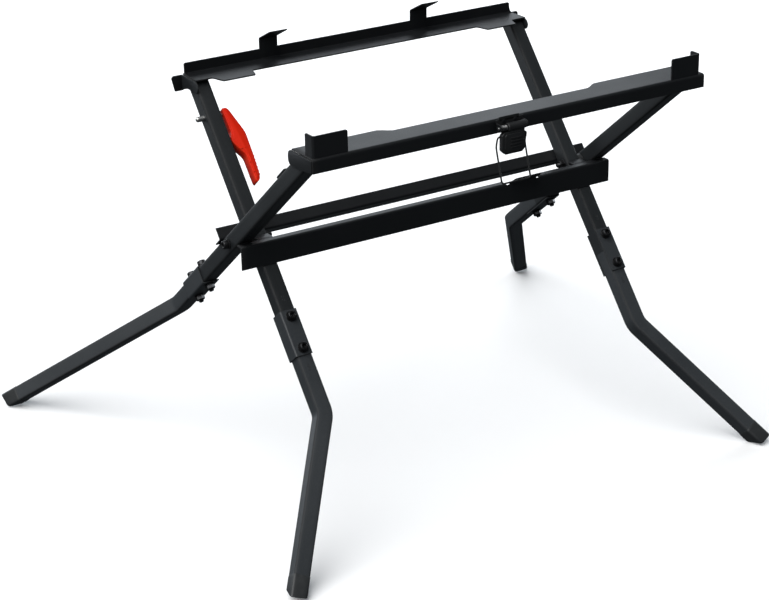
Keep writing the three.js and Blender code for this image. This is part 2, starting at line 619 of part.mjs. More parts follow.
/** Wire bail: two legs with inturned ends in the lever's sides and a cross bar below. */
function latchBail() {
  const { half, drop, wireR, reach } = BAIL;
  const z = LATCH.z - drop;
  const turnIn = 7.5;
  const corner = 4;
  const route = [];
  const add = (x, y, down) => route.push(new THREE.Vector3(LATCH_X + x, LATCH.y + y, z - down));
  add(-half + turnIn, 0, 0);
  add(-half + corner, 0, 0);
  add(-half + corner * 0.3, 0, corner * 0.3);
  add(-half, 0.5, corner);
  add(-half, 4, 14);
  add(-half, 3, 18);
  add(-half, -9, reach - corner);
  add(-half + corner * 0.3, -10, reach - corner * 0.3);
  add(-half + corner, -10.5, reach);
  const mirrored = route.slice().reverse().map((p) => new THREE.Vector3(2 * LATCH_X - p.x, p.y, p.z));
  const points = [...route, ...mirrored];
  const tangents = points.map((p, i) => {
    const before = points[Math.max(i - 1, 0)];
    const after = points[Math.min(i + 1, points.length - 1)];
    return after.clone().sub(before).normalize();
  });
  const wire = new THREE.Shape(arc(0, 0, wireR, 0, 315, 7).map(([u, v]) => new THREE.Vector2(u, v)));
  return sweep(wire, points, tangents);
}

function latchSpring() {
  const turns = 3;
  const steps = 42;
  const radius = 3.4;
  const [from, to] = [LATCH_X - 18.8, LATCH_X - 9.8];
  const points = [];
  const tangents = [];
  for (let i = 0; i <= steps; i++) {
    const a = 2 * Math.PI * turns * i / steps;
    const x = from + (to - from) * i / steps;
    points.push(new THREE.Vector3(x, LATCH.y + radius * Math.cos(a), LATCH.z + radius * Math.sin(a)));
    const pitch = (to - from) / (2 * Math.PI * turns);
    tangents.push(new THREE.Vector3(pitch, -radius * Math.sin(a), radius * Math.cos(a)).normalize());
  }
  const wire = new THREE.Shape(arc(0, 0, 0.8, 0, 300, 5).map(([u, v]) => new THREE.Vector2(u, v)));
  return sweep(wire, points, tangents);
}

/** Blind rivet head and shank that holds the latch base to the rail. */
function latchRivet(x) {
  const profile = [[0, 0], [2, 0], [2, 1.9], [4, 1.9], [3.2, 3], [0, 3.3]];
  const lathe = new THREE.LatheGeometry(profile.map(([r, d]) => new THREE.Vector2(r, d)), 16);
  lathe.rotateX(Math.PI);
  lathe.translate(x, LATCH_FACE, SHELF_Z - 4);
  return solid(lathe);
}

addPiece(pivotGroup, 'latch_base', latchBase(), powderCoat);
addPiece(pivotGroup, 'latch_lever', latchLever(), blackPlastic);
addPiece(pivotGroup, 'latch_bail', latchBail(), powderCoat);
addPiece(pivotGroup, 'latch_spring', latchSpring(), springSteel);
addPiece(pivotGroup, 'latch_hinge_pin',
  bar('x', LATCH_X - 24, LATCH_X + 26, LATCH.pinR, LATCH.y, LATCH.z, 16), zincPlate);
addPiece(pivotGroup, 'latch_rivet_left', latchRivet(LATCH_X - 9), zincPlate);
addPiece(pivotGroup, 'latch_rivet_right', latchRivet(LATCH_X + 11), zincPlate);

// Origin: on the floor, in the middle of the four feet.
stand.updateMatrixWorld(true);
const bounds = new THREE.Box3().setFromObject(stand, true);
stand.position.set(0, -(bounds.min.y + bounds.max.y) / 2, -bounds.min.z);

export default stand;
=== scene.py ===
import json
import math

import bmesh
import bpy
import numpy as np
from mathutils import Matrix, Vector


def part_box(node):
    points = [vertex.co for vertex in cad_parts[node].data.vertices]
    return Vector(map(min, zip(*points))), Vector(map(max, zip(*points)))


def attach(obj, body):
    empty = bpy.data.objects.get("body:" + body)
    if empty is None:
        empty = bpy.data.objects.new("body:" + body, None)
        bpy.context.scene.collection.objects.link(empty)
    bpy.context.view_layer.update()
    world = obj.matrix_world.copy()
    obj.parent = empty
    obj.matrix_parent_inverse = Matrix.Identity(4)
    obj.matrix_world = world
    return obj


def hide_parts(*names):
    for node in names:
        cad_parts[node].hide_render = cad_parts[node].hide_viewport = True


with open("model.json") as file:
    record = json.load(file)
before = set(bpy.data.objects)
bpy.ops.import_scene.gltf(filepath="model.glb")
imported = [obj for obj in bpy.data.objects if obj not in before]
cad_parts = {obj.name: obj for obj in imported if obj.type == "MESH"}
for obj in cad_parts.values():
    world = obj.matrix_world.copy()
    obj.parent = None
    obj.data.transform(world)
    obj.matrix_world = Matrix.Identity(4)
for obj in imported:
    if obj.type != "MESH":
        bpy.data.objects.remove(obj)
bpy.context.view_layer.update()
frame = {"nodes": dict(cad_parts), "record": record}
joint = {j["name"]: j for j in frame["record"]["behaviour"]["joints"]}

# ---- square leg tubes ----
# Welded square steel tube, 25 mm across with a 1.5 mm wall and soft corners, powder coated black.
# Two inner tubes lean back and two outer tubes lean forward; each is cut level under its rail.
MM = 0.001
TUBE = 25 * MM
TUBE_WALL = 1.5 * MM
TUBE_CORNER = 3.2 * MM
CLEAR = 0.3 * MM
JOINT_GAP = 0.15 * MM
PIVOT = np.array(joint["fold"]["pos_m"])
LEAN_INNER = math.radians(40)
LEAN_OUTER = math.radians(50)
INNER_X = (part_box("inner_tube_right")[0].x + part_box("inner_tube_right")[1].x) / 2
OUTER_X = (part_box("outer_tube_right")[0].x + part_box("outer_tube_right")[1].x) / 2
RAIL_OVER_TUBE = 2.3 * MM
SHELF_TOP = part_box("inner_tube_right")[1].z + RAIL_OVER_TUBE
TUBE_TOP = SHELF_TOP - 2.4 * MM
SIDES = {"left": -1, "right": 1}


class Value:
    """One shader socket; the operators on it add Math nodes, so a mask is written as a formula."""

    def __init__(self, tree, socket):
        self.tree = tree
        self.socket = socket

    def math(self, operation, *others, clamp=False):
        """A Math node of this kind, fed with this value and the others in order."""
        made = self.tree.node("ShaderNodeMath", {"operation": operation, "use_clamp": clamp},
                              dict(enumerate((self, *others))))
        return Value(self.tree, made.outputs[0])

    def reflected(self, operation, other):
        """The same with a plain number in front, as in 1 - mask."""
        made = self.tree.node("ShaderNodeMath", {"operation": operation}, {0: other, 1: self})
        return Value(self.tree, made.outputs[0])

    def __add__(self, other):
        return self.math("ADD", other)

    __radd__ = __add__

    def __sub__(self, other):
        return self.math("SUBTRACT", other)

    def __rsub__(self, other):
        return self.reflected("SUBTRACT", other)

    def __mul__(self, other):
        return self.math("MULTIPLY", other)

    __rmul__ = __mul__

    def __truediv__(self, other):
        return self.math("DIVIDE", other)

    def __rtruediv__(self, other):
        return self.reflected("DIVIDE", other)

    def clamp(self):
        """Kept between 0 and 1."""
        return self.math("ADD", 0.0, clamp=True)

    def above(self, low, high):
        """0 below low, 1 above high, straight between."""
        return ((self - low) / (high - low)).clamp()


class Finish:
    """One material: its node tree, and the ways that its nodes are added."""

    def __init__(self, name):
        self.material = bpy.data.materials.new(name)
        self.material.use_nodes = True
        self.tree = self.material.node_tree
        self.shader = self.tree.nodes["Principled BSDF"]
        self.object_place = Value(self, self.node("ShaderNodeTexCoord", {}, {}).outputs["Object"])

    def node(self, kind, settings, inputs):
        """Any node: its type, its settings, then what its sockets are given, by name or number."""
        made = self.tree.nodes.new(kind)
        for key, value in settings.items():
            setattr(made, key, value)
        for key, value in inputs.items():
            if isinstance(value, Value):
                self.tree.links.new(value.socket, made.inputs[key])
            else:
                made.inputs[key].default_value = value
        return made

    def noise(self, scale, detail=3.0):
        """Cloudy noise of so many features to the metre."""
        made = self.node("ShaderNodeTexNoise", {}, {
            "Vector": self.object_place, "Scale": scale, "Detail": detail, "Roughness": 0.55})
        return Value(self, made.outputs[0])

    def cells(self, scale):
        """Distance to the nearest point of a scattered set."""
        made = self.node("ShaderNodeTexVoronoi", {"feature": "F1"}, {
            "Vector": self.object_place, "Scale": scale})
        return Value(self, made.outputs["Distance"])

    def blend(self, mask, low, high):
        """Colour that goes from low to high as the mask goes from 0 to 1."""
        made = self.node("ShaderNodeMix", {"data_type": "RGBA"}, {0: mask})
        for socket, colour in ((made.inputs[6], low), (made.inputs[7], high)):
            if isinstance(colour, Value):
                self.tree.links.new(colour.socket, socket)
            else:
                socket.default_value = (*colour, 1)
        return Value(self, made.outputs[2])

    def attribute(self, name):
        """A number that the mesh holds at each point."""
        made = self.node("ShaderNodeAttribute", {"attribute_name": name}, {})
        return Value(self, made.outputs["Fac"])

    def bump(self, height, strength, distance):
        """A normal that follows the height, distance metres deep."""
        made = self.node("ShaderNodeBump", {}, {
            "Height": height, "Strength": strength, "Distance": distance})
        return Value(self, made.outputs[0])

    def set(self, **sockets):
        """Sets or links the shader's sockets, named with _ for each space."""
        for key, value in sockets.items():
            socket = self.shader.inputs[key.replace("_", " ")]
            if isinstance(value, Value):
                self.tree.links.new(value.socket, socket)
            else:
                socket.default_value = value
        return self


DUST = (0.06, 0.063, 0.066)
# Near black for the edges: painted shade, a dark line along each edge in place of its dark reflection.
PAINTED_EDGE_SHADE = (0.0025, 0.003, 0.0034)
RUBBED_EDGE = (0.040, 0.044, 0.047)


def powder_coat(name, dark, light, gloss):
    """Black powder coat: fine orange peel, a faint mottle of tone, pale dust specks, rubbed edges, and
    painted shade that darkens the edges.
    """
    coat = Finish(name)
    mottle = coat.noise(9, 4).above(0.3, 0.7)
    grain = coat.noise(650, 2).above(0.35, 0.7)
    fleck = 1 - coat.cells(420).above(0.04, 0.12)
    edge = coat.attribute("edge")
    rubbed = edge * coat.noise(60, 5).above(0.5, 0.8)
    tone = coat.blend(mottle * 0.55 + grain * 0.45, dark, light)
    tone = coat.blend(fleck * coat.noise(35).above(0.5, 0.65) * 0.3, tone, DUST)
    # Edges blended towards near black: painted shade along the edges.
    tone = coat.blend(edge * 0.55, tone, PAINTED_EDGE_SHADE)
    tone = coat.blend(rubbed * 0.3, tone, RUBBED_EDGE)
    peel = coat.noise(900, 2) * 0.6 + coat.noise(260, 2) * 0.4
    roughness = gloss + mottle * 0.06 + grain * 0.08 + edge * 0.28
    return coat.set(Base_Color=tone, Roughness=roughness, Metallic=0.0, Specular_IOR_Level=0.5,
                    Normal=coat.bump(peel, 0.35, 0.00025))


tube_coat = powder_coat("tube_coat", (0.0050, 0.0066, 0.0078), (0.0094, 0.0118, 0.0135), 0.46)


def unit(v):
    """Vectors scaled to length 1."""
    return v / np.maximum(np.linalg.norm(v, axis=-1, keepdims=True), 1e-12)


SHARP_ANGLE = math.radians(40)


def face_out(mesh):
    """Turns every face of a closed mesh outwards."""
    shell = bmesh.new()
    shell.from_mesh(mesh)
    bmesh.ops.recalc_face_normals(shell, faces=shell.faces)
    shell.to_mesh(mesh)
    shell.free()


def build(name, points, faces, finish, body, replaces=(), edge=None):
    """Puts points (n, 3) and faces into a mesh object that rides on its body; edge is 1 on edges, which get
    rubbed wear and painted edge shade.
    """
    mesh = bpy.data.meshes.new(name)
    mesh.from_pydata(np.asarray(points, float).tolist(), [], [tuple(f) for f in faces])
    if edge is not None:
        layer = mesh.attributes.new("edge", "FLOAT", "POINT")
        layer.data.foreach_set("value", np.asarray(edge, np.float32).ravel())
    mesh.materials.append(finish.material)
    mesh.polygons.foreach_set("use_smooth", [True] * len(mesh.polygons))
    mesh.validate()
    face_out(mesh)
    mesh.set_sharp_from_angle(angle=SHARP_ANGLE)
    mesh.update()
    made = bpy.data.objects.new(name, mesh)
    bpy.context.scene.collection.objects.link(made)
    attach(made, body)
    if replaces:
        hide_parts(*replaces)
    return made


def grid_faces(rows, columns, around, start=0, cap_first=False, cap_last=False):
    """Quads of a grid of rows by columns; around closes each row into a ring, caps close the ends."""
    across = np.arange(columns if around else columns - 1)
    r, c = np.meshgrid(np.arange(rows - 1) * columns, across, indexing="ij")
    beside = (c + 1) % columns
    quads = np.stack([r + c, r + beside, r + columns + beside, r + columns + c], -1)
    faces = (quads.reshape(-1, 4) + start).tolist()
    if cap_first:
        faces.append((start + np.arange(columns)[::-1]).tolist())
    if cap_last:
        faces.append((start + (rows - 1) * columns + np.arange(columns)).tolist())
    return faces


def round_square(width, radius, steps=5, flat=3):
    """Ring of a square with round corners: straight runs with flat points each, then quarter arcs."""
    ring = []
    reach = width / 2 - radius
    for quarter in range(4):
        turn = quarter * math.pi / 2
        angle = turn + np.linspace(0, math.pi / 2, steps + 1)
        cx, cy = (reach * s for s in ((1, 1), (-1, 1), (-1, -1), (1, -1))[quarter])
        ring.append(np.stack([cx + radius * np.cos(angle), cy + radius * np.sin(angle)], -1))
        side = np.linspace(-reach, reach, flat + 2)[1:-1, None]
        away = np.array([math.cos(turn + math.pi / 2), math.sin(turn + math.pi / 2)])
        along = np.array([math.cos(turn + math.pi), math.sin(turn + math.pi)])
        ring.append(away * width / 2 + along * side)
    return np.concatenate(ring)


def corner_closeness(ring, width):
    """1 at a ring's corners and 0 over its flats: the smaller of |u| and |v|, against the half width."""
    near = np.minimum(abs(ring[:, 0]), abs(ring[:, 1])) / (width / 2)
    begins, full = 0.72, 0.88
    return np.clip((near - begins) / (full - begins), 0, 1)


def carry(ring, centres, across, up):
    """A ring (u, v) carried along a path: centre + u * across + v * up at each station."""
    u, v = ring[None, :, 0:1], ring[None, :, 1:2]
    return centres[:, None] + u * across[:, None] + v * up[:, None]


def lean(points, angle):
    """Points drawn with z up the tube, turned about X by the lean and set on the pivot."""
    c, s = math.cos(angle), math.sin(angle)
    x, y, z = np.moveaxis(np.asarray(points, float), -1, 0)
    return np.stack([x, y * c - z * s, y * s + z * c], -1) + PIVOT


def hollow(name, shell, finish, body):
    """Closed tube from its outer surface (rows, ring, 3): the inner surface is the outer one drawn in
    by the wall towards each row's centre, joined to it by a rim at both ends."""
    centre = shell.mean(1, keepdims=True)
    inner = centre + (shell - centre) * (1 - 2 * TUBE_WALL / TUBE)
    skin = np.concatenate([shell, inner[::-1], shell[:1]])
    rows, columns = skin.shape[:2]
    faces = grid_faces(rows, columns, True)
    last = (rows - 1) * columns
    faces = [[i - last if i >= last else i for i in f] for f in faces]
    # 1 at the tube's corners: this mask drives rubbed wear and painted edge shade.
    edge_wear_and_shade = np.tile(corner_closeness(TUBE_RING, TUBE), (len(shell), 1))
    edge_wear_and_shade = np.concatenate([edge_wear_and_shade, np.zeros_like(edge_wear_and_shade)])
    build(f"{name}_steel", skin[:-1].reshape(-1, 3), faces, finish, body, (name,), edge_wear_and_shade)


def frame_of(prefix):
    """Lean angle, tube distance from the middle and body of the inner or the outer frame."""
    if prefix == "inner":
        return -LEAN_INNER, INNER_X, "inner_frame"
    return LEAN_OUTER, OUTER_X, "outer_frame"


JOINT_DOWN = {"inner": 159 * MM, "outer": 166 * MM}
LIP_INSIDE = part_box("front_upper_rail")[0].y + RAIL_OVER_TUBE
TUBE_RING = round_square(TUBE, TUBE_CORNER)
TUBE_ROWS = 40
OVERRUN = 20 * MM

for prefix in JOINT_DOWN:
    angle, reach, body = frame_of(prefix)
    for word, side in SIDES.items():
        # The last row starts beyond the cut, and slides back onto it.
        top = (SHELF_TOP - PIVOT[2]) / math.cos(angle)
        joint_end = -JOINT_DOWN[prefix] + JOINT_GAP
        stations = np.linspace(joint_end, top - OVERRUN, TUBE_ROWS - 1)
        stations = np.append(stations, top + OVERRUN)
        centres = np.stack([np.full(TUBE_ROWS, side * reach), np.zeros(TUBE_ROWS), stations], -1)
        across = np.tile([1.0, 0, 0], (TUBE_ROWS, 1))
        up = np.tile([0, 1.0, 0], (TUBE_ROWS, 1))
        shell = lean(carry(TUBE_RING, centres, across, up), angle)
        way = unit(lean([[0, 0, 1.0]], angle) - PIVOT)[0]
        over = np.maximum(shell[..., 2] - TUBE_TOP, 0) / way[2]
        if prefix == "outer":
            over = np.maximum(over, (LIP_INSIDE - shell[..., 1]) / -way[1])
        shell = shell - np.maximum(over, 0)[..., None] * way
        hollow(f"{prefix}_tube_{word}", shell, tube_coat, body)

# ---- bent lower legs ----
# The same steel tube in a greyer powder coat, cold bent about 30 degrees outwards round a 34 mm former,
# so that each foot stands well outside its frame. Its end is cut along the slanting sole.
LEG_BEND = math.radians(30.2)
BEND_RADIUS = 34 * MM
# Distances down the tube from the pivot, the sole's two slopes, and which way the tube's front faces.
LEG = {"inner": {"bend": 285.6 * MM, "end": 520.5 * MM, "sole": (0.11, 0.64), "up": -1},
       "outer": {"bend": 268 * MM, "end": 616 * MM, "sole": (0.43, 0.26), "up": 1}}
STRAIGHT_ROWS, BEND_ROWS, LOWER_ROWS = 7, 13, 25
# The last even row stands this far up from the sole, the next one beyond it and is then slid back.
SOLE_ROOM = 14 * MM
PAST_SOLE = 30 * MM
CAP_SOLE = 1.6 * MM


def leg_path(prefix, side, reach, past=0):
    """Centre line of a leg: straight down, an arc of the bend radius, then straight to the sole and
    past it by the given length. Returns centres, downward tangents and outward normals."""
    leg = LEG[prefix]
    tangent = BEND_RADIUS * math.tan(LEG_BEND / 2)
    bend_start = leg["bend"] - tangent
    straight = np.linspace(JOINT_DOWN[prefix] + JOINT_GAP, bend_start, STRAIGHT_ROWS + 1)[:-1]
    turn = np.linspace(0, LEG_BEND, BEND_ROWS)
    run = (leg["end"] - leg["bend"]) / math.cos(LEG_BEND)
    lower = np.append(np.linspace(tangent, run - SOLE_ROOM, LOWER_ROWS)[1:], run + past)
    upright = np.zeros(STRAIGHT_ROWS)
    out = np.concatenate([upright, BEND_RADIUS * (1 - np.cos(turn)), lower * math.sin(LEG_BEND)])
    down = np.concatenate([straight, bend_start + BEND_RADIUS * np.sin(turn),
                           leg["bend"] + lower * math.cos(LEG_BEND)])
    heading = np.concatenate([upright, turn, np.full(LOWER_ROWS, LEG_BEND)])
    centres = np.stack([side * (reach + out), np.zeros_like(out), -down], -1)
    ways = np.stack([side * np.sin(heading), np.zeros_like(out), -np.cos(heading)], -1)
    outward = np.stack([side * np.cos(heading), np.zeros_like(out), np.sin(heading)], -1)
    return centres, ways, outward


def leg_end(prefix, side, reach):
    """The centre, downward tangent and outward normal where a leg's centre line meets the sole."""
    return (line[-1] for line in leg_path(prefix, side, reach))


def sole_trim(points, prefix, side, reach, lift):
    """Slides points that lie beyond the slanting sole back up the leg onto it, lift above it."""
    end, way, out = leg_end(prefix, side, reach)
    rel = points - end
    across, along = LEG[prefix]["sole"]
    allowed = across * (rel @ out) + along * LEG[prefix]["up"] * rel[..., 1] - lift
    return points - np.maximum(rel @ way - allowed, 0)[..., None] * way


leg_coat = powder_coat("leg_coat", (0.019, 0.0225, 0.026), (0.035, 0.0395, 0.0435), 0.46)

for prefix in LEG:
    angle, reach, body = frame_of(prefix)
    for word, side in SIDES.items():
        centres, _, outward = leg_path(prefix, side, reach, PAST_SOLE)
        up = np.tile([0, -1.0 * side, 0], (len(centres), 1))
        shell = sole_trim(carry(TUBE_RING, centres, outward, up), prefix, side, reach, CAP_SOLE)
        hollow(f"{prefix}_leg_{word}", lean(shell, angle), leg_coat, body)

# ---- foot caps ----
# Moulded black plastic caps pushed over the leg ends, 26 mm long, with a slanting sole that faces
# the floor and small rounded rims.
CAP_LENGTH = 26 * MM
CAP_WIDTH = 26.2

plastic = Finish("cap_plastic")
grain = plastic.noise(380, 4)
scuff = plastic.noise(45, 5).above(0.55, 0.8)
tone = plastic.blend(grain, (0.012, 0.0135, 0.0145), (0.022, 0.024, 0.0255))
plastic.set(Base_Color=plastic.blend(scuff * 0.5, tone, (0.045, 0.048, 0.05)),
            Roughness=0.46 + grain * 0.15 + scuff * 0.12, Normal=plastic.bump(grain, 0.3, 0.0003))


def foot_cap(prefix, side, reach):
    """Rings of a rounded square down the leg: a lip at the rim, straight walls, then the rounded
    edge of the sole, where each ring is slid up the leg onto a plane just above the sole."""
    end, way, out = leg_end(prefix, side, reach)
    up = np.array([0, -1.0 * side, 0])
    rim = [(-CAP_LENGTH, 25.1), (-CAP_LENGTH + 0.1 * MM, 25.8), (-CAP_LENGTH + 0.5 * MM, CAP_WIDTH)]
    wall = [(t * MM, CAP_WIDTH) for t in np.linspace(-22, -12, 5)]
    rows = [(t, w, 0) for t, w in rim + wall]
    sole = ((CAP_WIDTH, 1.3), (25.9, 0.6), (25.2, 0.15), (24, 0), (16, 0), (6, 0))
    rows += [(PAST_SOLE, w, lift) for w, lift in sole]
    rings = []
    for t, width, lift in rows:
        ring = round_square(width * MM, min(4 * MM, width * MM / 2.4))
        points = carry(ring, (end + way * t)[None], out[None], up[None])[0]
        rings.append(points if t < 0 else sole_trim(points, prefix, side, reach, lift * MM))
    return np.stack(rings)


for prefix in LEG:
    angle, reach, body = frame_of(prefix)
    for word, side in SIDES.items():
        rings = lean(foot_cap(prefix, side, reach), angle)
        rows, columns = rings.shape[:2]
        name = f"{prefix}_foot_{word}"
        build(f"{name}_cap", rings.reshape(-1, 3), grid_faces(rows, columns, True, 0, True, True),
              plastic, body, (name,))

# ---- joint sleeves ----
# Folded channels of 2 mm sheet, 72 mm long, that wrap the outside of each joint between tube and leg
# and are open towards the middle of the stand. The screws hold them.
SLEEVE_LENGTH = 72 * MM
SHEET = 2 * MM
EDGE_ROUND = 0.35 * MM
BORDER = 1.2 * MM
BOLTS = {"inner": (134 * MM, 184 * MM), "outer": (141 * MM, 191 * MM)}


def soften(made, width):
    """Rounds the edges that turn by more than 35 degrees, as a press and a coat of powder do."""
    bevel = made.modifiers.new("edges", "BEVEL")
    bevel.width = width
    bevel.segments = 2
    bevel.limit_method = "ANGLE"
    bevel.angle_limit = math.radians(35)
    bevel.harden_normals = False


def sheet(name, grid, finish, body, replaces=(), thickness=SHEET, edge_round=EDGE_ROUND,
          normal=None):
    """Sheet metal from its middle surface, a grid (rows, columns, 3): both faces are the grid moved half
    the thickness along its normals (the cross product of its two directions), with a rim all round."""
    grid = np.asarray(grid, float)
    if normal is None:
        normal = unit(np.cross(np.gradient(grid, axis=0), np.gradient(grid, axis=1)))
    rows, columns = grid.shape[:2]
    points = np.concatenate([(grid + normal * thickness / 2).reshape(-1, 3),
                             (grid - normal * thickness / 2).reshape(-1, 3)])
    count = rows * columns
    top = grid_faces(rows, columns, False)
    bottom = [[i + count for i in f[::-1]] for f in top]
    index = np.arange(count).reshape(rows, columns)
    loop = np.concatenate([index[0, :], index[1:, -1], index[-1, -2::-1], index[-2:0:-1, 0]])
    nxt = np.roll(loop, -1)
    rim = np.stack([loop, loop + count, nxt + count, nxt], -1).tolist()
    near = np.zeros((rows, columns))
    near[0, :] = near[-1, :] = near[:, 0] = near[:, -1] = 1
    soften(build(name, points, top + bottom + rim, finish, body, replaces, np.tile(near.ravel(), 2)),
           edge_round)


def with_borders(low, high, count, inset=BORDER):
    """Stations from low to high with one more just inside each end, so that wear and painted edge shade
    keep to the edge.
    """
    step = inset if high > low else -inset
    return np.concatenate([[low], np.linspace(low + step, high - step, count), [high]])


def straight_run(here, there, count):
    """Places from here to there, with one more just inside each end."""
    inset = BORDER / np.linalg.norm(there - here)
    return here + (there - here) * with_borders(0, 1, count, inset)[:, None]


def folded_line(points, radius, steps=6, count=6):
    """A sheet's middle line in a plane: straight runs with stations, and an arc at each inner corner."""
    points = [np.array(q, float) for q in points]
    out = []
    here = points[0]
    for a, b, c in zip(points, points[1:], points[2:] + [None]):
        into = unit(b - a)
        if c is None:
            out.append(straight_run(here, b, count))
            break
        away = unit(c - b)
        turn = math.atan2(into[0] * away[1] - into[1] * away[0], into @ away)
        back = radius * math.tan(abs(turn) / 2)
        start = b - into * back
        out.append(straight_run(here, start, count)[:-1])
        side = math.copysign(1, turn)
        centre = start + side * radius * np.array([-into[1], into[0]])
        swing = np.linspace(0, turn, steps + 1)[:, None]
        spoke = start - centre
        arc = centre + np.cos(swing) * spoke + np.sin(swing) * np.array([-spoke[1], spoke[0]])
        out.append(arc[:-1])
        here = arc[-1]
    return np.concatenate(out)


SHEET_SEAT = TUBE / 2 + CLEAR + SHEET / 2
SLEEVE_MOUTH = -13 * MM
SLEEVE_LINE = folded_line([(SLEEVE_MOUTH, -SHEET_SEAT), (SHEET_SEAT, -SHEET_SEAT), (SHEET_SEAT, SHEET_SEAT),
                           (SLEEVE_MOUTH, SHEET_SEAT)], SHEET)
for prefix in LEG:
    angle, reach, body = frame_of(prefix)
    middle = -sum(BOLTS[prefix]) / 2
    for word, side in SIDES.items():
        stations = middle + with_borders(-SLEEVE_LENGTH / 2, SLEEVE_LENGTH / 2, 10)
        stations = stations[:: side]
        grid = np.zeros((len(stations), len(SLEEVE_LINE), 3))
        grid[..., 0] = side * (reach + SLEEVE_LINE[None, :, 0])
        grid[..., 1] = SLEEVE_LINE[None, :, 1]
        grid[..., 2] = stations[:, None]
        name = f"{prefix}_sleeve_{word}"
        sheet(f"{name}_channel", lean(grid, angle), leg_coat, body, (name,))

# ---- joint screws and nuts ----
# M8 socket head screws with knurled heads and plain washers, in black oxide steel; hexagon nuts with
# washers, and two or three threads of the screw showing.
SEAT = TUBE / 2 + 2 * CLEAR + SHEET

zinc = Finish("zinc_plate")
cloud = zinc.noise(55, 4).above(0.35, 0.7)
brush = zinc.noise(900, 2)
zinc.set(Base_Color=zinc.blend(cloud, (0.34, 0.345, 0.35), (0.52, 0.52, 0.50)),
         Metallic=1.0, Roughness=0.26 + cloud * 0.14 + brush * 0.1, Normal=zinc.bump(brush, 0.15, 0.0001))

dark_screw = Finish("blackened_screw")
cloud = dark_screw.noise(70, 4).above(0.3, 0.7)
brush = dark_screw.noise(800, 2)
dark_screw.set(Base_Color=dark_screw.blend(cloud, (0.018, 0.0185, 0.02), (0.045, 0.046, 0.048)),
               Metallic=0.85, Roughness=0.3 + cloud * 0.15, Normal=dark_screw.bump(brush, 0.15, 0.0001))


def turned(rows, sides=48, knurl=0.0):
    """Rings about the z axis from rows (radius, height, is_hexagon): a hexagon's radius grows towards
    its corners by 1 / cos of the angle from the nearest flat; a knurl ripples the widest rings."""
    theta = np.linspace(0, 2 * math.pi, sides, endpoint=False)
    flat = (theta + math.pi / 6) % (math.pi / 3) - math.pi / 6
    radius = np.array([r for r, _, _ in rows])[:, None] * MM
    height = np.array([z for _, z, _ in rows])[:, None] * MM
    hexagon = np.array([h for _, _, h in rows], float)[:, None]
    widest = (radius > 6.2 * MM) * (height > 2 * MM)
    ripple = 1 + knurl * np.cos(sides / 2 * theta) * widest
    r = radius * (hexagon / np.cos(flat) + (1 - hexagon)) * ripple
    return np.stack([r * np.cos(theta), r * np.sin(theta), height + 0 * r], -1)


def solid_of(*shells):
    """Points and faces of several closed ringed shells in one mesh."""
    points, faces, start = [], [], 0
    for rings in shells:
        rows, columns = rings.shape[:2]
        points.append(rings.reshape(-1, 3))
        faces += grid_faces(rows, columns, True, start, True, True)
        start += rows * columns
    return np.concatenate(points), faces


def thread(low, high):
    """Rows of a rod whose radius steps between crest and root of a 1.25 mm thread."""
    crest, root, tip, pitch = 4.0, 3.45, 3.0, 1.25
    heights = np.arange(low, high, pitch / 2)
    return [(tip, low - 0.5, 0), *((crest if i % 2 else root, z, 0) for i, z in enumerate(heights))]


# Rows of radius and height in mm, then 1 where the row is a hexagon.
WASHER = [(4, 0, 0), (7.8, 0, 0), (8, 0.25, 0), (8, 1.3, 0), (7.8, 1.5, 0)]
HEAD = [(6.3, 1.5, 0), (6.5, 1.8, 0), (6.5, 4, 0), (6.5, 8.4, 0), (6.2, 9.1, 0), (5.6, 9.5, 0),
        (3.8, 9.5, 0), (3.2, 9.2, 1), (3.0, 8.8, 1), (3.0, 5, 1), (1.2, 4.6, 0)]
NUT = [(6.0, 1.5, 0), (6.4, 1.8, 1), (6.5, 2.3, 1), (6.5, 7.0, 1), (6.4, 7.5, 1), (6.1, 7.9, 0),
       (4.6, 8.0, 0), (4.1, 7.6, 0), (4.05, 3, 0), (2, 2.6, 0)]
THREADED = 16
PAST_NUT = 11


def screw_points(length):
    """Head and washer above the seat, and the threaded rod down to the screw's length."""
    return solid_of(turned(WASHER + HEAD, 96, 0.012), turned(thread(-length, THREADED - length), 32))


def set_across(points, sign, x, z):
    """Fastener drawn along +z, turned to point along +y or -y of its frame, seated on the sleeve."""
    a, b, c = points.T
    return np.stack([x + a, sign * (SEAT + c), z - sign * b], -1)


for prefix, sign in (("inner", -1), ("outer", 1)):
    angle, reach, body = frame_of(prefix)
    for word, side in SIDES.items():
        for place, down in zip(("upper", "lower"), BOLTS[prefix]):
            points, faces = screw_points(2 * SEAT / MM + PAST_NUT)
            name = f"{prefix}_bolt_{word}_{place}"
            build(f"{name}_screw", lean(set_across(points, sign, side * reach, -down), angle), faces,
                  dark_screw, body, (name,))
            points, faces = solid_of(turned(WASHER + NUT, 48))
            name = f"{prefix}_nut_{word}_{place}"
            build(f"{name}_hex", lean(set_across(points, -sign, side * reach, -down), angle), faces,
                  dark_screw, body, (name,))

# ---- punch marks ----
# Two small punch marks above and below each front joint tell the legs apart. Each is struck into the
# steel tube before it is coated, and the struck metal stands up in a low ring.
MARKS_DOWN = (104 * MM, 214 * MM)
MARK_STEP = 5 * MM
CRATER = [(0.6, -0.5, 0), (1.0, -0.3, 0), (1.3, 0.1, 0), (1.7, 0.22, 0), (2.1, 0.05, 0), (2.2, -0.5, 0)]
crater = turned(CRATER, 24)
for word, side in SIDES.items():
    for i, down in enumerate(MARKS_DOWN):
        a, b, c = np.moveaxis(crater, -1, 0)
        shells = [np.stack([side * INNER_X + a, -TUBE / 2 - c, -down + step * MARK_STEP - b], -1)
                  for step in (-0.5, 0.5)]
        points, faces = solid_of(*shells)
        build(f"punch_mark_{word}_{i}", lean(points, -LEAN_INNER), faces, tube_coat, "inner_frame")

# ---- pivots ----
# One M8 steel screw on each side runs through outer tube, nylon spacer and inner tube to a lock nut,
# and the two frames fold about the pair.
PAST_LOCK_NUT = 12

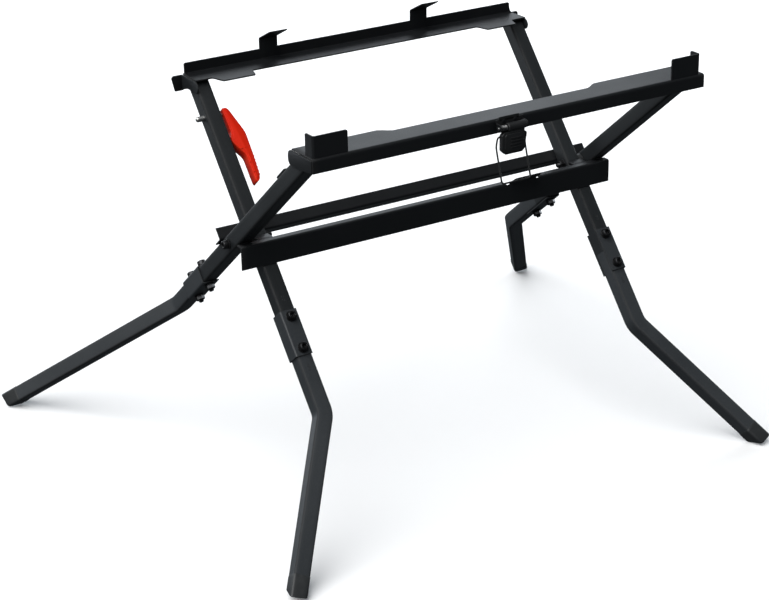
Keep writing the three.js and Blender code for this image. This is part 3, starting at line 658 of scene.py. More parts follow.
nylon = Finish("spacer_nylon")
cloud = nylon.noise(120, 3)
nylon.set(Base_Color=nylon.blend(cloud, (0.010, 0.011, 0.012), (0.02, 0.021, 0.022)),
          Roughness=0.4 + cloud * 0.15, Normal=nylon.bump(cloud, 0.2, 0.0002))


def set_sideways(points, side, face):
    """Fastener drawn along +z, turned to point along +x or -x from the face, on the pivot's axis."""
    a, b, c = points.T
    return np.stack([face + side * c, a, side * b], -1) + PIVOT


for word, side in SIDES.items():
    outer_face = side * (OUTER_X + TUBE / 2 + CLEAR)
    inner_face = side * (INNER_X - TUBE / 2 - CLEAR)
    points, faces = screw_points(abs(outer_face - inner_face) / MM + PAST_LOCK_NUT)
    build(f"pivot_bolt_{word}_screw", set_sideways(points, side, outer_face), faces, dark_screw,
          "inner_frame", (f"pivot_bolt_{word}",))
    points, faces = solid_of(turned(WASHER + NUT, 48))
    build(f"pivot_nut_{word}_hex", set_sideways(points, -side, inner_face), faces, dark_screw,
          "inner_frame", (f"pivot_nut_{word}",))
    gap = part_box(f"pivot_spacer_{word}")
    width = (gap[1].x - gap[0].x) / MM
    rows = [(4.4, 0, 0), (10.4, 0, 0), (11, 0.5, 0), (11, width - 0.5, 0), (10.4, width, 0),
            (4.4, width, 0)]
    points, faces = solid_of(turned(rows, 48))
    near_face = (gap[0] if side > 0 else gap[1]).x
    build(f"pivot_spacer_{word}_ring", set_sideways(points, side, near_face), faces, nylon, "inner_frame",
          (f"pivot_spacer_{word}",))

# ---- front upper rail ----
# 2 mm angle: a wide shelf for the saw with its front lip turned down, cut back along the middle, and a
# stop folded up at each front corner. Its brackets are welded to the outer tubes.
rail_coat = powder_coat("rail_coat", (0.0024, 0.0030, 0.0038), (0.0052, 0.0062, 0.0074), 0.38)


def eased(x, low, high):
    """0 below low, 1 above high, a smooth S between."""
    t = np.clip((x - low) / (high - low), 0, 1)
    return t * t * (3 - 2 * t)


def rail_stations(end, *places, exact=()):
    """Places along a rail: borders at both ends, even steps, close steps at each given place (mm), and
    any exact ones (metres)."""
    close = [np.linspace(p - 3, p + 3, 9) * MM for p in places]
    even = with_borders(-end, end, 61)
    inside = np.unique(np.round(np.concatenate([even, *close, np.asarray(exact, float)]), 7))
    return inside[(inside >= -end) & (inside <= end)]


def kept(line, length):
    """The first length of a middle line, with as many points as the whole one has."""
    along = np.concatenate([[0], np.cumsum(np.linalg.norm(np.diff(line, axis=0), axis=-1))])
    wanted = along * min(length / along[-1], 1)
    return np.stack([np.interp(wanted, along, line[:, i]) for i in (0, 1)], -1)


def length_of(line):
    """Length of a middle line."""
    return np.linalg.norm(np.diff(line, axis=0), axis=-1).sum()


def rail_grid(line_of, stations):
    """Grid of a rail and its normals: at each x the section's middle line (columns, 2) in y and z, and
    the direction square to that line."""
    lines = np.stack([line_of(x) for x in stations])
    x = np.broadcast_to(stations[:, None, None], lines[..., :1].shape)
    way = unit(np.gradient(lines, axis=1))
    normal = np.stack([0 * way[..., 0], -way[..., 1], way[..., 0]], -1)
    return np.concatenate([x, lines], -1), normal


def rail(name, line_of, stations, body, replaces=(), thickness=SHEET, edge_round=EDGE_ROUND):
    """A sheet rail along x from the section line at each station."""
    grid, normal = rail_grid(line_of, stations)
    sheet(name, grid, rail_coat, body, replaces, thickness, edge_round, normal)


front_low, front_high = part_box("front_upper_rail")
FRONT_Y = front_low.y + SHEET / 2
FRONT_END = front_high.x
LIP_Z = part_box("front_upper_rail")[0].z
REAR_EDGE = front_high.y
WAIST = 13 * MM
# The waist's slopes in mm: start, middle and end, on the left and then on the right.
WAIST_PLACES = (-204, -192, -181, 151, 163, 176)


def front_rear_edge(x):
    """The shelf's rear edge: full depth at both ends, cut back by the waist along the middle."""
    begins, _, full, ends, _, over = (p * MM for p in WAIST_PLACES)
    return REAR_EDGE - WAIST * eased(x, begins, full) * (1 - eased(x, ends, over))


mid = SHELF_TOP - SHEET / 2
rail("front_upper_rail_angle",
     lambda x: folded_line([(FRONT_Y, LIP_Z), (FRONT_Y, mid), (front_rear_edge(x), mid)], 3 * MM),
     rail_stations(FRONT_END, *WAIST_PLACES), "outer_frame", ("front_upper_rail",))

TAB_ROUND = 0.5 * MM
STOP_TOP = front_high.z
STOP_SETBACK = 2.6 * MM
STOP_CORNER = 3 * MM
STOP_DEPTH = 20 * MM
STOP_SPAN = {"left": (-280 * MM, -334.5 * MM), "right": (276 * MM, 329.5 * MM)}
for word, (inner_end, outer_end) in STOP_SPAN.items():
    side = SIDES[word]
    edge_x = outer_end - side * SHEET / 2
    stop_y = FRONT_Y + STOP_SETBACK
    line = folded_line([(inner_end, stop_y), (edge_x, stop_y), (edge_x, stop_y + STOP_DEPTH)],
                       2.5 * MM, 8, 9)
    # Towards the top the line is drawn in at both ends along a quarter circle.
    shoulder = STOP_TOP - STOP_CORNER
    rise = np.concatenate([with_borders(TUBE_TOP, shoulder, 6)[:-1],
                           shoulder + STOP_CORNER * np.sin(np.linspace(0, math.pi / 2, 7))])
    high = np.clip((rise - shoulder) / STOP_CORNER, 0, 1)
    draw = STOP_CORNER * (1 - np.sqrt(1 - high ** 2))
    rings = [kept(line[::-1], length_of(line) - d)[::-1] for d in draw]
    rings = np.stack([kept(ring, length_of(ring) - d) for ring, d in zip(rings, draw)])
    grid = np.concatenate([rings, np.broadcast_to(rise[:, None, None], rings[..., :1].shape)], -1)
    sheet(f"front_stop_{word}", grid[::side], rail_coat, "outer_frame",
          edge_round=TAB_ROUND)


def inset(outline, distance):
    """A closed outline (n, 2) moved inwards by distance along the middle of its two edge normals."""
    before = unit(outline - np.roll(outline, 1, 0))
    after = unit(np.roll(outline, -1, 0) - outline)
    normal = unit(np.stack([-(before + after)[:, 1], (before + after)[:, 0]], -1))
    lean_in = np.clip((normal * np.stack([-before[:, 1], before[:, 0]], -1)).sum(-1), 0.45, 1)
    return outline + normal * (distance / lean_in)[:, None]


def ordered(outline):
    """The outline run anticlockwise."""
    x, y = outline.T
    area = (x * np.roll(y, -1) - y * np.roll(x, -1)).sum()
    return outline if area > 0 else outline[::-1]


def plate_rings(outline, low, high, rounding):
    """Rings (u, v, w) of a flat plate: the outline inset and raised along a quarter circle, straight
    sides, then the same quarter circle run backwards at the other face."""
    outline = ordered(np.asarray(outline, float))
    steps = [(rounding * (1 - math.sin(a)), rounding * (1 - math.cos(a)))
             for a in np.linspace(0, math.pi / 2, 4)]
    rows = [(drawn, low + up) for drawn, up in steps] + [(up, high - drawn) for drawn, up in steps]
    return np.stack([np.concatenate([inset(outline, drawn), np.full((len(outline), 1), w)], -1)
                     for drawn, w in rows])


def curve(a, corner, b, steps):
    """From a to b, drawn towards the corner: (1 - t)^2 a + 2 t (1 - t) corner + t^2 b."""
    t = np.linspace(0, 1, steps + 1)[:, None]
    return (1 - t) ** 2 * a + 2 * t * (1 - t) * corner + t ** 2 * b


def rounded(corners, radius, steps=5):
    """Outline through the corners with each one rounded; a corner may have its own radius as (x, y, r)."""
    places = [np.array(c[:2], float) for c in corners]
    points = []
    for i, (here, corner) in enumerate(zip(places, corners)):
        back, on = places[i - 1] - here, places[(i + 1) % len(places)] - here
        wanted = corner[2] if len(corner) > 2 else radius
        reach = min(wanted, 0.45 * np.linalg.norm(back), 0.45 * np.linalg.norm(on))
        points.append(curve(here + unit(back) * reach, here, here + unit(on) * reach, steps))
    return np.concatenate(points)


def plate(name, corners, low, high, place, finish, body, slot, replaces=(), radius=1.5 * MM,
          rounding=0.4 * MM):
    """A flat plate with a rounded outline and edges; place turns (u, v, w) into the stand's axes."""
    rings = plate_rings(rounded(corners, radius), low, high, rounding)
    rows, columns = rings.shape[:2]
    edge = np.zeros((rows, columns))
    edge[1:4] = edge[-4:-1] = 0.7
    build(name, place(rings).reshape(-1, 3), grid_faces(rows, columns, True, 0, True, True), finish, body,
          replaces, edge)


def from_side(rings):
    """(u, v, w) drawn as (y, z, x)."""
    return rings[..., [2, 0, 1]]


def from_front(rings):
    """(u, v, w) drawn as (x, z, -y)."""
    return np.stack([rings[..., 0], -rings[..., 2], rings[..., 1]], -1)


def mirrored(rings, side):
    """Left pieces are right ones turned over in x, with each ring run backwards to keep it facing out."""
    if side > 0:
        return rings
    return (rings * np.array([-1, 1, 1]))[:, ::-1]


for word, side in SIDES.items():
    low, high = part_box(f"front_rail_bracket_{word}")
    corners = [(low.y, high.z), (low.y, LIP_Z + 0.5 * MM), (low.y + 38 * MM, low.z),
               (high.y, low.z, 12 * MM), (high.y, high.z, 12 * MM)]
    plate(f"front_rail_bracket_{word}_plate", corners, *sorted((abs(low.x), abs(high.x))),
          lambda r: mirrored(from_side(r), side), rail_coat, "outer_frame", "powder_coat",
          (f"front_rail_bracket_{word}",))

# A short stop plate is welded to the rear face of the left outer tube, sunk a little into its coat.
KEEPER_UP = (218 * MM, 250 * MM)
KEEPER_BEVEL = 1.5 * MM
sunk, proud = TUBE / 2 - CLEAR, TUBE / 2 + 2.4 * MM
keeper = [(sunk, KEEPER_UP[0]), (proud, KEEPER_UP[0] + KEEPER_BEVEL),
          (proud, KEEPER_UP[1] - KEEPER_BEVEL), (sunk, KEEPER_UP[1])]
plate("lock_keeper", keeper, -OUTER_X - TUBE / 2 + 0.6 * MM, -OUTER_X + TUBE / 2 - 3 * MM,
      lambda r: lean(from_side(r), LEAN_OUTER), tube_coat, "outer_frame", "powder_coat")

# ---- rear upper rail ----
# 2 mm angle with a standing rear flange, two deeper rest pads, and two hooks folded forward from the
# flange to catch the saw's base. Brackets with outturned ears are welded to the inner tubes.
rear_low, rear_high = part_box("rear_upper_rail")
REAR_Y = rear_high.y - SHEET / 2
REAR_END = rear_high.x
FLANGE_TOP = SHELF_TOP + 16.2 * MM
PAD_EDGE = rear_low.y
PAD_STEP = 23 * MM
PAD_SLOPES = ((205 * MM, 214 * MM), (266 * MM, 276 * MM))
FLANGE_END = 300.3 * MM
FLANGE_CORNER = 3 * MM


def rear_front_edge(x):
    """The shelf's front edge: set back, except at the two pads, whose ends slope."""
    pad = eased(abs(x), *PAD_SLOPES[0]) * (1 - eased(abs(x), *PAD_SLOPES[1]))
    return PAD_EDGE + PAD_STEP * (1 - pad)


def rear_line(x):
    """Section of the rear rail: shelf and flange; the flange stops short of the shelf's ends, with a
    round top corner, so there only the shelf's length of the line is kept."""
    line = folded_line([(rear_front_edge(x), mid), (REAR_Y, mid), (REAR_Y, FLANGE_TOP)], 2 * MM)
    over = abs(x) - (FLANGE_END - FLANGE_CORNER)
    if over <= 0:
        return line
    if over > FLANGE_CORNER:
        return kept(line, REAR_Y - rear_front_edge(x))
    return kept(line, length_of(line) - FLANGE_CORNER + math.sqrt(FLANGE_CORNER ** 2 - over ** 2))


corner_steps = FLANGE_END - FLANGE_CORNER * (1 - np.sin(np.linspace(0, math.pi / 2, 7)))
corner_steps = np.append(corner_steps, FLANGE_END + 0.05 * MM)
rail("rear_upper_rail_angle", rear_line,
     rail_stations(REAR_END, *(s * p for s in (-1, 1) for p in (206, 210, 214, 266, 271, 276)),
                   exact=np.concatenate([corner_steps, -corner_steps])),
     "inner_frame", ("rear_upper_rail",))

HOOKS = {"left": -154 * MM, "right": 122 * MM}
HOOK_WIDTH = 32 * MM
HOOK_REACH = 35 * MM
HOOK_LINE = folded_line([(REAR_Y, SHELF_TOP + 8 * MM), (REAR_Y, SHELF_TOP + 33 * MM),
                         (REAR_Y - HOOK_REACH, rear_high.z - SHEET / 2)], 3.5 * MM, 8)
# Tabs folded from a sheet are a hair thicker than it, so that their faces don't fall together.
TAB_SHEET = 2.05 * MM
for word, x in HOOKS.items():
    rail(f"rear_hook_{word}", lambda _: HOOK_LINE, with_borders(x - HOOK_WIDTH / 2, x + HOOK_WIDTH / 2, 6),
         "inner_frame", thickness=TAB_SHEET, edge_round=TAB_ROUND)

for word, side in SIDES.items():
    low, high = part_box(f"rear_rail_bracket_{word}")
    corners = [(high.y, low.z), (high.y, high.z), (low.y + 6 * MM, high.z, 5 * MM),
               (low.y, high.z - 9 * MM, 9 * MM), (low.y + 5 * MM, low.z + 7 * MM, 7 * MM),
               (high.y - 20 * MM, low.z + 7 * MM), (high.y - 10 * MM, low.z + 4 * MM, 6 * MM)]
    inner_face = INNER_X + TUBE / 2 + CLEAR
    plate(f"rear_rail_bracket_{word}_plate", corners, inner_face, inner_face + SHEET,
          lambda r: mirrored(from_side(r), side), tube_coat, "inner_frame", "powder_coat",
          (f"rear_rail_bracket_{word}",))
    ear_end = max(abs(low.x), abs(high.x))
    ear_start = inner_face + 0.5 * MM
    ear = [(ear_start, low.z), (ear_end - 5 * MM, low.z), (ear_end, high.z - 3 * MM, 6 * MM),
           (ear_end - 3 * MM, high.z, 3 * MM), (ear_start, high.z)]
    plate(f"rear_ear_{word}", ear, -high.y, -high.y + SHEET, lambda r: mirrored(from_front(r), side),
          rail_coat, "inner_frame", "powder_coat")

# ---- lower rails ----
# The front one is a deep folded rail across the fronts of the inner tubes, which the outer tubes rest
# against when the stand is open, with a hooked lip between two round reliefs. The rear one is a
# small angle in the rear notch of the crossing.
LOWER_TOP = PIVOT[2] + 8.2 * MM
LOWER_BOTTOM = PIVOT[2] - 28.5 * MM
LOWER_Y = PIVOT[1] - 41.6 * MM
LOWER_REAR = PIVOT[1] - 29.6 * MM
LOWER_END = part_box("front_lower_rail")[1].x
LIP_SPAN = (141 * MM, 192 * MM)
LIP_CUT = 2.4 * MM
LIP_CORNER = 5 * MM
RELIEF = 4.8 * MM
RELIEF_RISE = 2.2 * MM
RELIEF_X = (LIP_SPAN[0] - 3 * MM, LIP_SPAN[1] + 3 * MM)


def lower_line(x):
    """Section of the deep rail at x: wall and flange, with only the wall's lower part kept where a round
    relief or the lip takes the flange away."""
    full = folded_line([(LOWER_Y, LOWER_BOTTOM), (LOWER_Y, LOWER_TOP - SHEET / 2),
                        (LOWER_REAR, LOWER_TOP - SHEET / 2)], 2 * MM, 6, 6)
    depth = LIP_CUT if LIP_SPAN[0] < x < LIP_SPAN[1] else 0.0
    for centre in RELIEF_X:
        depth = max(depth, math.sqrt(max(RELIEF ** 2 - (x - centre) ** 2, 0)) - RELIEF_RISE)
    return kept(full, LOWER_TOP - LOWER_BOTTOM - depth) if depth > 0.01 * MM else full


scoop = RELIEF * np.sin(np.linspace(-math.pi / 2, math.pi / 2, 17)) * 0.9999
exact = [centre + step for centre in RELIEF_X for step in scoop]
exact += [RELIEF_X[0] - RELIEF - 0.05 * MM, RELIEF_X[1] + RELIEF + 0.05 * MM]
rail("front_lower_rail_channel", lower_line, rail_stations(LOWER_END, exact=exact), "inner_frame",
     ("front_lower_rail",))

# The lip runs from the wall up and forward, and its far corners are round.
line = folded_line([(LOWER_Y, LOWER_TOP - 12 * MM), (LOWER_Y, LOWER_TOP),
                    (LOWER_Y - 18.2 * MM, LOWER_TOP + 12.6 * MM)], 2.5 * MM, 8, 14)
grid, normal = rail_grid(lambda _: line, with_borders(*LIP_SPAN, 16))
left_over = np.linalg.norm(line - line[-1], axis=-1)
draw = LIP_CORNER - np.sqrt(LIP_CORNER ** 2 - np.clip(LIP_CORNER - left_over, 0, LIP_CORNER) ** 2)
middle, half = sum(LIP_SPAN) / 2, (LIP_SPAN[1] - LIP_SPAN[0]) / 2
grid[..., 0] = middle + (grid[..., 0] - middle) * (1 - draw / half)
sheet("front_lower_lip", grid, rail_coat, "inner_frame", thickness=TAB_SHEET,
      edge_round=TAB_ROUND, normal=normal)

# At each tube the flange has an ear that reaches back to it.
EAR_LIFT = 0.02 * MM
ear_front, ear_rear = LOWER_REAR - 2 * MM, PIVOT[1] - 12.2 * MM
for word, side in SIDES.items():
    left, right = side * INNER_X - TUBE / 2, side * INNER_X + TUBE / 2
    ear = [(left, ear_front), (right, ear_front), (right, ear_rear), (left, ear_rear)]
    plate(f"front_lower_ear_{word}", ear, LOWER_TOP - SHEET + EAR_LIFT, LOWER_TOP + EAR_LIFT,
          lambda r: r, rail_coat, "inner_frame", "rail_coat", radius=0.5 * MM)

REAR_LOWER_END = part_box("rear_lower_rail")[1].x
REAR_LOWER_LINE = folded_line([(SHEET_SEAT + 19 * MM, -16.5 * MM), (SHEET_SEAT, -16.5 * MM),
                               (SHEET_SEAT, -35.5 * MM)], 2.2 * MM)
grid, _ = rail_grid(lambda _: REAR_LOWER_LINE, with_borders(-REAR_LOWER_END, REAR_LOWER_END, 41))
sheet("rear_lower_rail_angle", lean(grid, LEAN_OUTER), rail_coat, "outer_frame",
      ("rear_lower_rail",))

# ---- fold lock ----
# A moulded red rocker on the inside of the left inner tube. Squeezing its lower end against the tube
# draws a spring-loaded steel pin out of the outer tube, so that the folded stand can be opened.
LEVER_FACE = -INNER_X + TUBE / 2
# Heights up the tube from the pivot: the lever's top end, and the pin's axis.
LEVER_TOP = 207 * MM
LOCK_UP = 200 * MM

red = Finish("red_plastic")
grain = red.noise(300, 4)
fade = red.noise(14, 3).above(0.3, 0.75)
rub = red.attribute("edge") * red.noise(90, 4).above(0.4, 0.7)
tone = red.blend(fade, (0.60, 0.012, 0.0010), (0.68, 0.019, 0.0016))
red.set(Base_Color=red.blend(rub * 0.25, tone, (0.85, 0.12, 0.04)), Roughness=0.46 + grain * 0.14,
        Specular_IOR_Level=0.18, Normal=red.bump(grain, 0.25, 0.0002))


def by_lever(rings):
    """(down the tube, away from it, across) drawn into the inner frame's axes, then leaned."""
    s, v, w = np.moveaxis(rings, -1, 0)
    return lean(np.stack([LEVER_FACE + v, -w, LEVER_TOP - s], -1), -LEAN_INNER)


def small_plate(name, corners, low, high, place, finish, body, slot, replaces=(), radius=1.0,
                rounding=0.4):
    """A plate whose outline, span, corner radius and edge rounding are all in mm."""
    plate(name, [tuple(c * MM for c in q) for q in corners], low * MM, high * MM, place, finish, body,
          slot, replaces, radius * MM, rounding * MM)


# Outlines run down the tube and away from it, with some corners' own radii.
OF_LEVER = (by_lever, red, "lock_lever", "red_plastic")
ROCKER = [(0, 5, 1.5), (0, 12, 3), (4, 15.2, 3), (44, 28.6, 7), (80, 28, 6), (114, 26.2, 4),
          (122, 23.6, 4), (126, 18.6, 2), (122.5, 16.9, 2), (80, 16.8, 6), (60, 4.5, 3), (55, 2.5, 3),
          (49, 2.5, 3), (40, 6, 4)]
PANEL = [(4, 7.5), (5, 13), (44, 25.6), (80, 25.3), (112, 23.6), (119, 21.5), (119.5, 19), (80, 19.3),
         (57, 7.5), (50, 6), (38, 9)]
small_plate("lock_lever_rocker", ROCKER, -9, 9, *OF_LEVER, ("lock_lever",), 1.5, 0.9)
for i, down in enumerate((84, 90, 96, 102, 108, 114)):
    crest = 28.9 - 0.06 * (down - 80)
    grip = [(down - 1.6, 24), (down + 1.6, 24), (down + 1.1, crest), (down - 1.1, crest + 0.2)]
    small_plate(f"lock_lever_grip_{i}", grip, -8, 8, *OF_LEVER, radius=0.7)
for i, (low, high) in enumerate(((-9.7, -8.6), (8.6, 9.7))):
    small_plate(f"lock_lever_panel_{i}", PANEL, low, high, *OF_LEVER, radius=3, rounding=0.45)
    for k, (down, foot) in enumerate(((68, 11), (92, 17.2), (108, 17.2))):
        rib = [(down, foot), (down + 1.6, foot), (down + 1.6, 20), (down, 20)]
        small_plate(f"lock_lever_rib_{i}_{k}", rib, low * 1.03, high * 1.03, *OF_LEVER, radius=0.5,
                    rounding=0.3)

PIN = [(2.0, 0, 0), (2.4, 0.2, 0), (4.0, 1.6, 0), (4.2, 2.2, 0), (4.2, 22, 0), (4.2, 37, 0),
       (2.5, 38, 0), (2.5, 47, 0)]
PIN_PROUD = 13 * MM
points, faces = solid_of(turned(PIN, 40))
a, b, c = points.T
pin = np.stack([-INNER_X - TUBE / 2 - PIN_PROUD + c, -b, LOCK_UP + a], -1)
build("lock_pin_steel", lean(pin, -LEAN_INNER), faces, zinc, "lock_pin", ("lock_pin",))


def drilled(made, cutter_rings):
    """Cuts a closed ringed shell out of a piece and keeps the result as its mesh."""
    points, faces = solid_of(cutter_rings)
    mesh = bpy.data.meshes.new("drill")
    mesh.from_pydata(points.tolist(), [], [tuple(f) for f in faces])
    face_out(mesh)
    cutter = bpy.data.objects.new("drill", mesh)
    bpy.context.scene.collection.objects.link(cutter)
    hole = made.modifiers.new("hole", "BOOLEAN")
    hole.operation, hole.solver, hole.object = "DIFFERENCE", "EXACT", cutter
    bpy.context.view_layer.update()
    cut = bpy.data.meshes.new_from_object(made.evaluated_get(bpy.context.evaluated_depsgraph_get()))
    made.modifiers.clear()
    made.data = cut
    bpy.data.objects.remove(cutter)


# The pin's keeper hole is in the inner wall of the left outer tube, where it meets the pin when folded.
BORE_RADIUS = 4.9
bore = turned([(BORE_RADIUS, -3, 0), (BORE_RADIUS, 6, 0)], 40)
a, b, c = np.moveaxis(bore, -1, 0)
drilled(bpy.data.objects["outer_tube_left_steel"],
        lean(np.stack([-OUTER_X + TUBE / 2 - c, -b, LOCK_UP + a], -1), LEAN_OUTER))

for name, finish in (("lock_lever_lug", tube_coat), ("lock_lever_pin", zinc), ("lock_spring", zinc)):
    frame["nodes"][name].data.materials.clear()
    frame["nodes"][name].data.materials.append(finish.material)

# ---- draw latch ----
# A small over-centre latch on the front rail's lip: a pressed base with two ears, a round barrel on a
# pin with a bright spring beside it, a ribbed black paddle, and a wire bail that hangs below.
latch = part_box("latch_hinge_pin")
HINGE = np.array([(latch[0].x + latch[1].x) / 2 - 1 * MM, (latch[0].y + latch[1].y) / 2,
                  (latch[0].z + latch[1].z) / 2])

black = Finish("latch_plastic")
grain = black.noise(500, 3)
black.set(Base_Color=black.blend(grain, (0.006, 0.0064, 0.007), (0.012, 0.0125, 0.0135)),
          Roughness=0.4 + grain * 0.15, Normal=black.bump(grain, 0.3, 0.0002))


def at_hinge(rings):
    """(u, v, w) drawn as (y, z, x) from the latch's hinge."""
    return from_side(rings) + HINGE


def from_hinge(rings):
    """(u, v, w) drawn as (x, z, -y) from the latch's hinge."""
    return from_front(rings) + HINGE


OF_BASE = (at_hinge, rail_coat, "outer_frame", "powder_coat")
small_plate("latch_base_plate", [(7.7, -8.5), (9.2, -8.5), (9.2, 10.5), (7.7, 10.5)], -22, 24.5, *OF_BASE,
            ("latch_base",), 0.4, 0.3)
small_plate("latch_base_tab", [(7.7, 8), (9.2, 8), (9.2, 14), (7.7, 14)], -17, 17, *OF_BASE, (), 0.4, 0.3)
for word, low, high in (("left", -22, -20.2), ("right", 22.7, 24.5)):
    small_plate(f"latch_ear_{word}", [(9, -6), (9, 6), (-5, 5.2, 5), (-5, -5.2, 5)], low, high, *OF_BASE,
                (), 1.5, 0.3)

BARREL = [(2.4, -8.5, 0), (5.4, -8.5, 0), (6, -7.9, 0), (6, 0, 0), (6, 21.7, 0), (5.4, 22.3, 0),
          (2.4, 22.3, 0)]
points, faces = solid_of(turned(BARREL, 40))
build("latch_barrel", at_hinge(points), faces, black, "latch_lever", ("latch_lever",))
small_plate("latch_neck", [(-3.5, -9), (3, -9), (3, -2), (-3.5, -2)], -6.5, 19.3, at_hinge, black,
            "latch_lever", "black_plastic", (), 0.8, 0.4)

OF_PADDLE = (from_hinge, black, "latch_lever", "black_plastic", ())
PADDLE = [(-16, -6.5), (-19.8, -10.5), (-19.8, -33), (-13.5, -39), (15, -39), (20.8, -33.5), (20.8, -24),
          (19, -19), (20.8, -13), (20.8, -10), (17.5, -6.5)]
PADDLE_FACE = [(-12.5, -9), (-15.5, -12), (-15.5, -31), (-11.5, -35.5), (13, -35.5), (17, -31.5),
               (17, -12), (14, -9)]
small_plate("latch_paddle", PADDLE, -3.5, 4.2, *OF_PADDLE, 1.2, 0.9)
small_plate("latch_paddle_face", PADDLE_FACE, 3.6, 5.4, *OF_PADDLE, 1.2, 0.8)
for i, drop in enumerate((15.5, 20, 24.5, 29)):
    low, high = -drop - 0.9, -drop + 0.9
    small_plate(f"latch_rib_{i}", [(-6, low), (-6, high), (13, high), (13, low)], 5, 6.6, *OF_PADDLE,
                0.4, 0.4)


def wire(path, radius, sides=14):
    """Round wire along a path (n, 3): at each station a circle on the two directions square to the
    path, the first being the path's direction crossed with the y axis."""
    way = unit(np.gradient(path, axis=0))
    side = np.cross(way, [0.0, 1.0, 0.0])
    side = unit(np.where(np.linalg.norm(side, axis=-1, keepdims=True) < 1e-3, [1.0, 0, 0], side))
    up = np.cross(way, side)
    theta = np.linspace(0, 2 * math.pi, sides, endpoint=False)
    ring = np.stack([np.cos(theta), np.sin(theta)], -1) * radius
    return carry(ring, path, side, up)


def bent_path(points, radius, steps=8):
    """A path in space with each corner replaced by a curve that starts and ends the radius from it."""
    out = [points[:1]]
    for before, here, after in zip(points, points[1:], points[2:]):
        back, on = before - here, after - here
        a = here + unit(back) * min(radius, 0.48 * np.linalg.norm(back))
        b = here + unit(on) * min(radius, 0.48 * np.linalg.norm(on))
        out.append(curve(a, here, b, steps))
    return np.concatenate(out + [points[-1:]])


# One leg of the bail from its end in the paddle's side down to the cross bar; the other mirrors it.
HALF = 24.7
BAIL_DROP = np.array([0, 0, 12 * MM])
leg = [(-HALF + 7.5, 0, 0), (-HALF, 0, 0), (-HALF, 3.6, -14), (-HALF, 3, -19), (-HALF, -11, -66.3)]
route = np.array(leg + [(-x, y, z) for x, y, z in leg[::-1]]) * MM
wire_coat = powder_coat("wire_coat", (0.0030, 0.0034, 0.0038), (0.0060, 0.0066, 0.0070), 0.5)
points, faces = solid_of(wire(bent_path(route, 5 * MM) + HINGE - BAIL_DROP, 1.3 * MM))
build("latch_bail_wire", points, faces, wire_coat, "latch_bail", ("latch_bail",))

spring_wire = Finish("spring_wire")
cloud = spring_wire.noise(260, 3).above(0.35, 0.7)
spring_wire.set(Base_Color=spring_wire.blend(cloud, (0.10, 0.102, 0.106), (0.30, 0.30, 0.30)),
                Metallic=1.0, Roughness=0.28 + cloud * 0.2, Normal=spring_wire.bump(cloud, 0.2, 0.0001))
TURNS, COIL_RADIUS, COIL_START, COIL_LENGTH = 5, 3.6 * MM, -19.4, 9.8
t = np.linspace(0, 1, TURNS * 20)
swing = 2 * math.pi * TURNS * t
coil = np.stack([(COIL_START + COIL_LENGTH * t) * MM, COIL_RADIUS * np.cos(swing),
                 COIL_RADIUS * np.sin(swing)], -1)
points, faces = solid_of(wire(coil + HINGE, 0.7 * MM, 10))
build("latch_spring_coil", points, faces, spring_wire, "outer_frame", ("latch_spring",))
points, faces = solid_of(turned([(1.6, -24, 0), (2.0, -23.6, 0), (2.0, 25.6, 0), (1.6, 26, 0)], 24))
build("latch_hinge_rod", at_hinge(points), faces, zinc, "outer_frame",
      ("latch_hinge_pin",))
RIVET = [(2, -1.6, 0), (3.2, 0.2, 0), (3.1, 0.5, 0), (2.4, 0.8, 0), (1.2, 1.0, 0), (0.4, 1.05, 0)]
points, faces = solid_of(turned(RIVET, 24))
for x, word in ((-9, "left"), (11, "right")):
    centre = HINGE + np.array([x, 7.9, 7]) * MM
    build(f"latch_rivet_{word}_head", from_front(points) + centre, faces, rail_coat, "outer_frame",
          (f"latch_rivet_{word}",))

# ---- stage ----
# A plain, very wide pale floor, one soft sun, three softboxes behind the stand, and the camera. The
# floor doesn't light the stand, so that faces turned to the front stay deep black.
scene = bpy.context.scene
floor_finish = Finish("pale_floor")
floor_finish.set(Base_Color=(0.86, 0.86, 0.86, 1), Roughness=0.7)
REACH = 400.0
plane = bpy.data.meshes.new("floor")
plane.from_pydata([(-REACH, -REACH, 0), (REACH, -REACH, 0), (REACH, REACH, 0), (-REACH, REACH, 0)], [],
                  [(0, 1, 2, 3)])
plane.materials.append(floor_finish.material)
floor = bpy.data.objects.new("floor", plane)
scene.collection.objects.link(floor)
floor.visible_diffuse = False
floor.visible_glossy = False

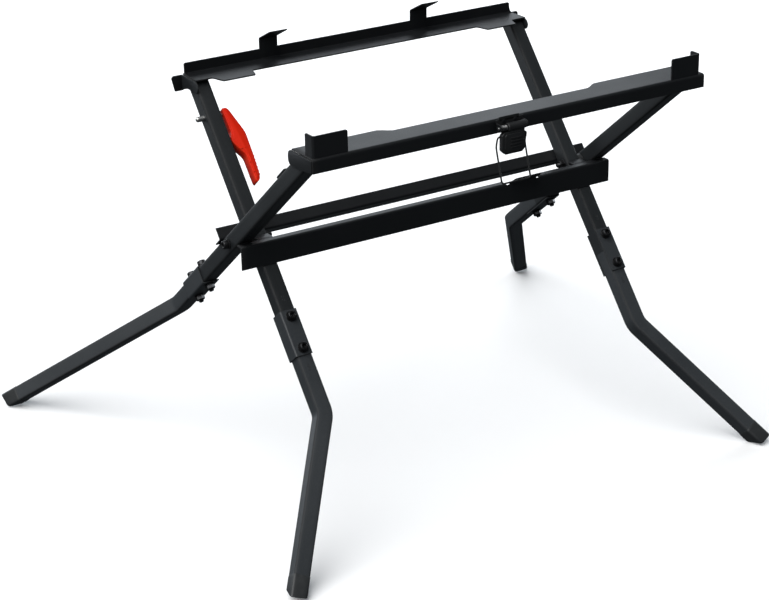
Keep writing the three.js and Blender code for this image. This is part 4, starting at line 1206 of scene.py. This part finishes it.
scene.world = bpy.data.worlds.new("studio")
scene.world.use_nodes = True
sky = scene.world.node_tree.nodes["Background"].inputs
sky["Color"].default_value = (0.82, 0.92, 1, 1)
sky["Strength"].default_value = 0.08


def set_facing(made, right, back, place=(0, 0, 0)):
    """Puts a light or camera at a place, looking away from back, with right to its right."""
    matrix = np.eye(4)
    matrix[:3] = np.stack([right, np.cross(back, right), back, place], -1)
    made.matrix_world = Matrix(matrix.tolist())
    scene.collection.objects.link(made)


sun = bpy.data.lights.new("window", "SUN")
sun.energy = 4.1
sun.angle = math.radians(70)
towards = unit(np.array([-0.7, -0.22, 1.0]))
set_facing(bpy.data.objects.new("window", sun), unit(np.cross([0, 1.0, 0], towards)), towards)


def softbox(name, place, aim, size, power):
    """Square area light at a place, facing a point."""
    lamp = bpy.data.lights.new(name, "AREA")
    lamp.size = size
    lamp.energy = power
    lamp.color = (0.88, 0.94, 1)
    made = bpy.data.objects.new(name, lamp)
    back = unit(np.array(place, float) - aim)
    set_facing(made, unit(np.cross([0, 0.001, 1.0], back)), back, place)


softbox("rear", (1.6, 3.2, 1.9), (0, 0, 0.5), 2.6, 32)
softbox("rear_low", (-1.2, 4.2, 0.9), (0, 0, 0.4), 2.0, 80)
softbox("right_low", (4.2, 1.2, 1.0), (0, 0, 0.4), 2.0, 90)

AZIMUTH = math.radians(-31.228)
ELEVATION = math.radians(23.471)
ROLL = math.radians(-1.2553)
CAMERA_PLACE = (-1.5566, -2.5204, 1.4961)
flat = math.cos(ELEVATION)
back = np.array([math.sin(AZIMUTH) * flat, -math.cos(AZIMUTH) * flat, math.sin(ELEVATION)])
level = np.array([math.cos(AZIMUTH), math.sin(AZIMUTH), 0])
right = math.cos(ROLL) * level + math.sin(ROLL) * np.cross(back, level)
lens = bpy.data.cameras.new("camera")
lens.lens = 93.19
lens.sensor_width = 36
lens.clip_end = 100
bpy.context.scene.camera = bpy.data.objects.new("camera", lens)
set_facing(bpy.context.scene.camera, right, back, CAMERA_PLACE)
scene.view_settings.view_transform = "Standard"
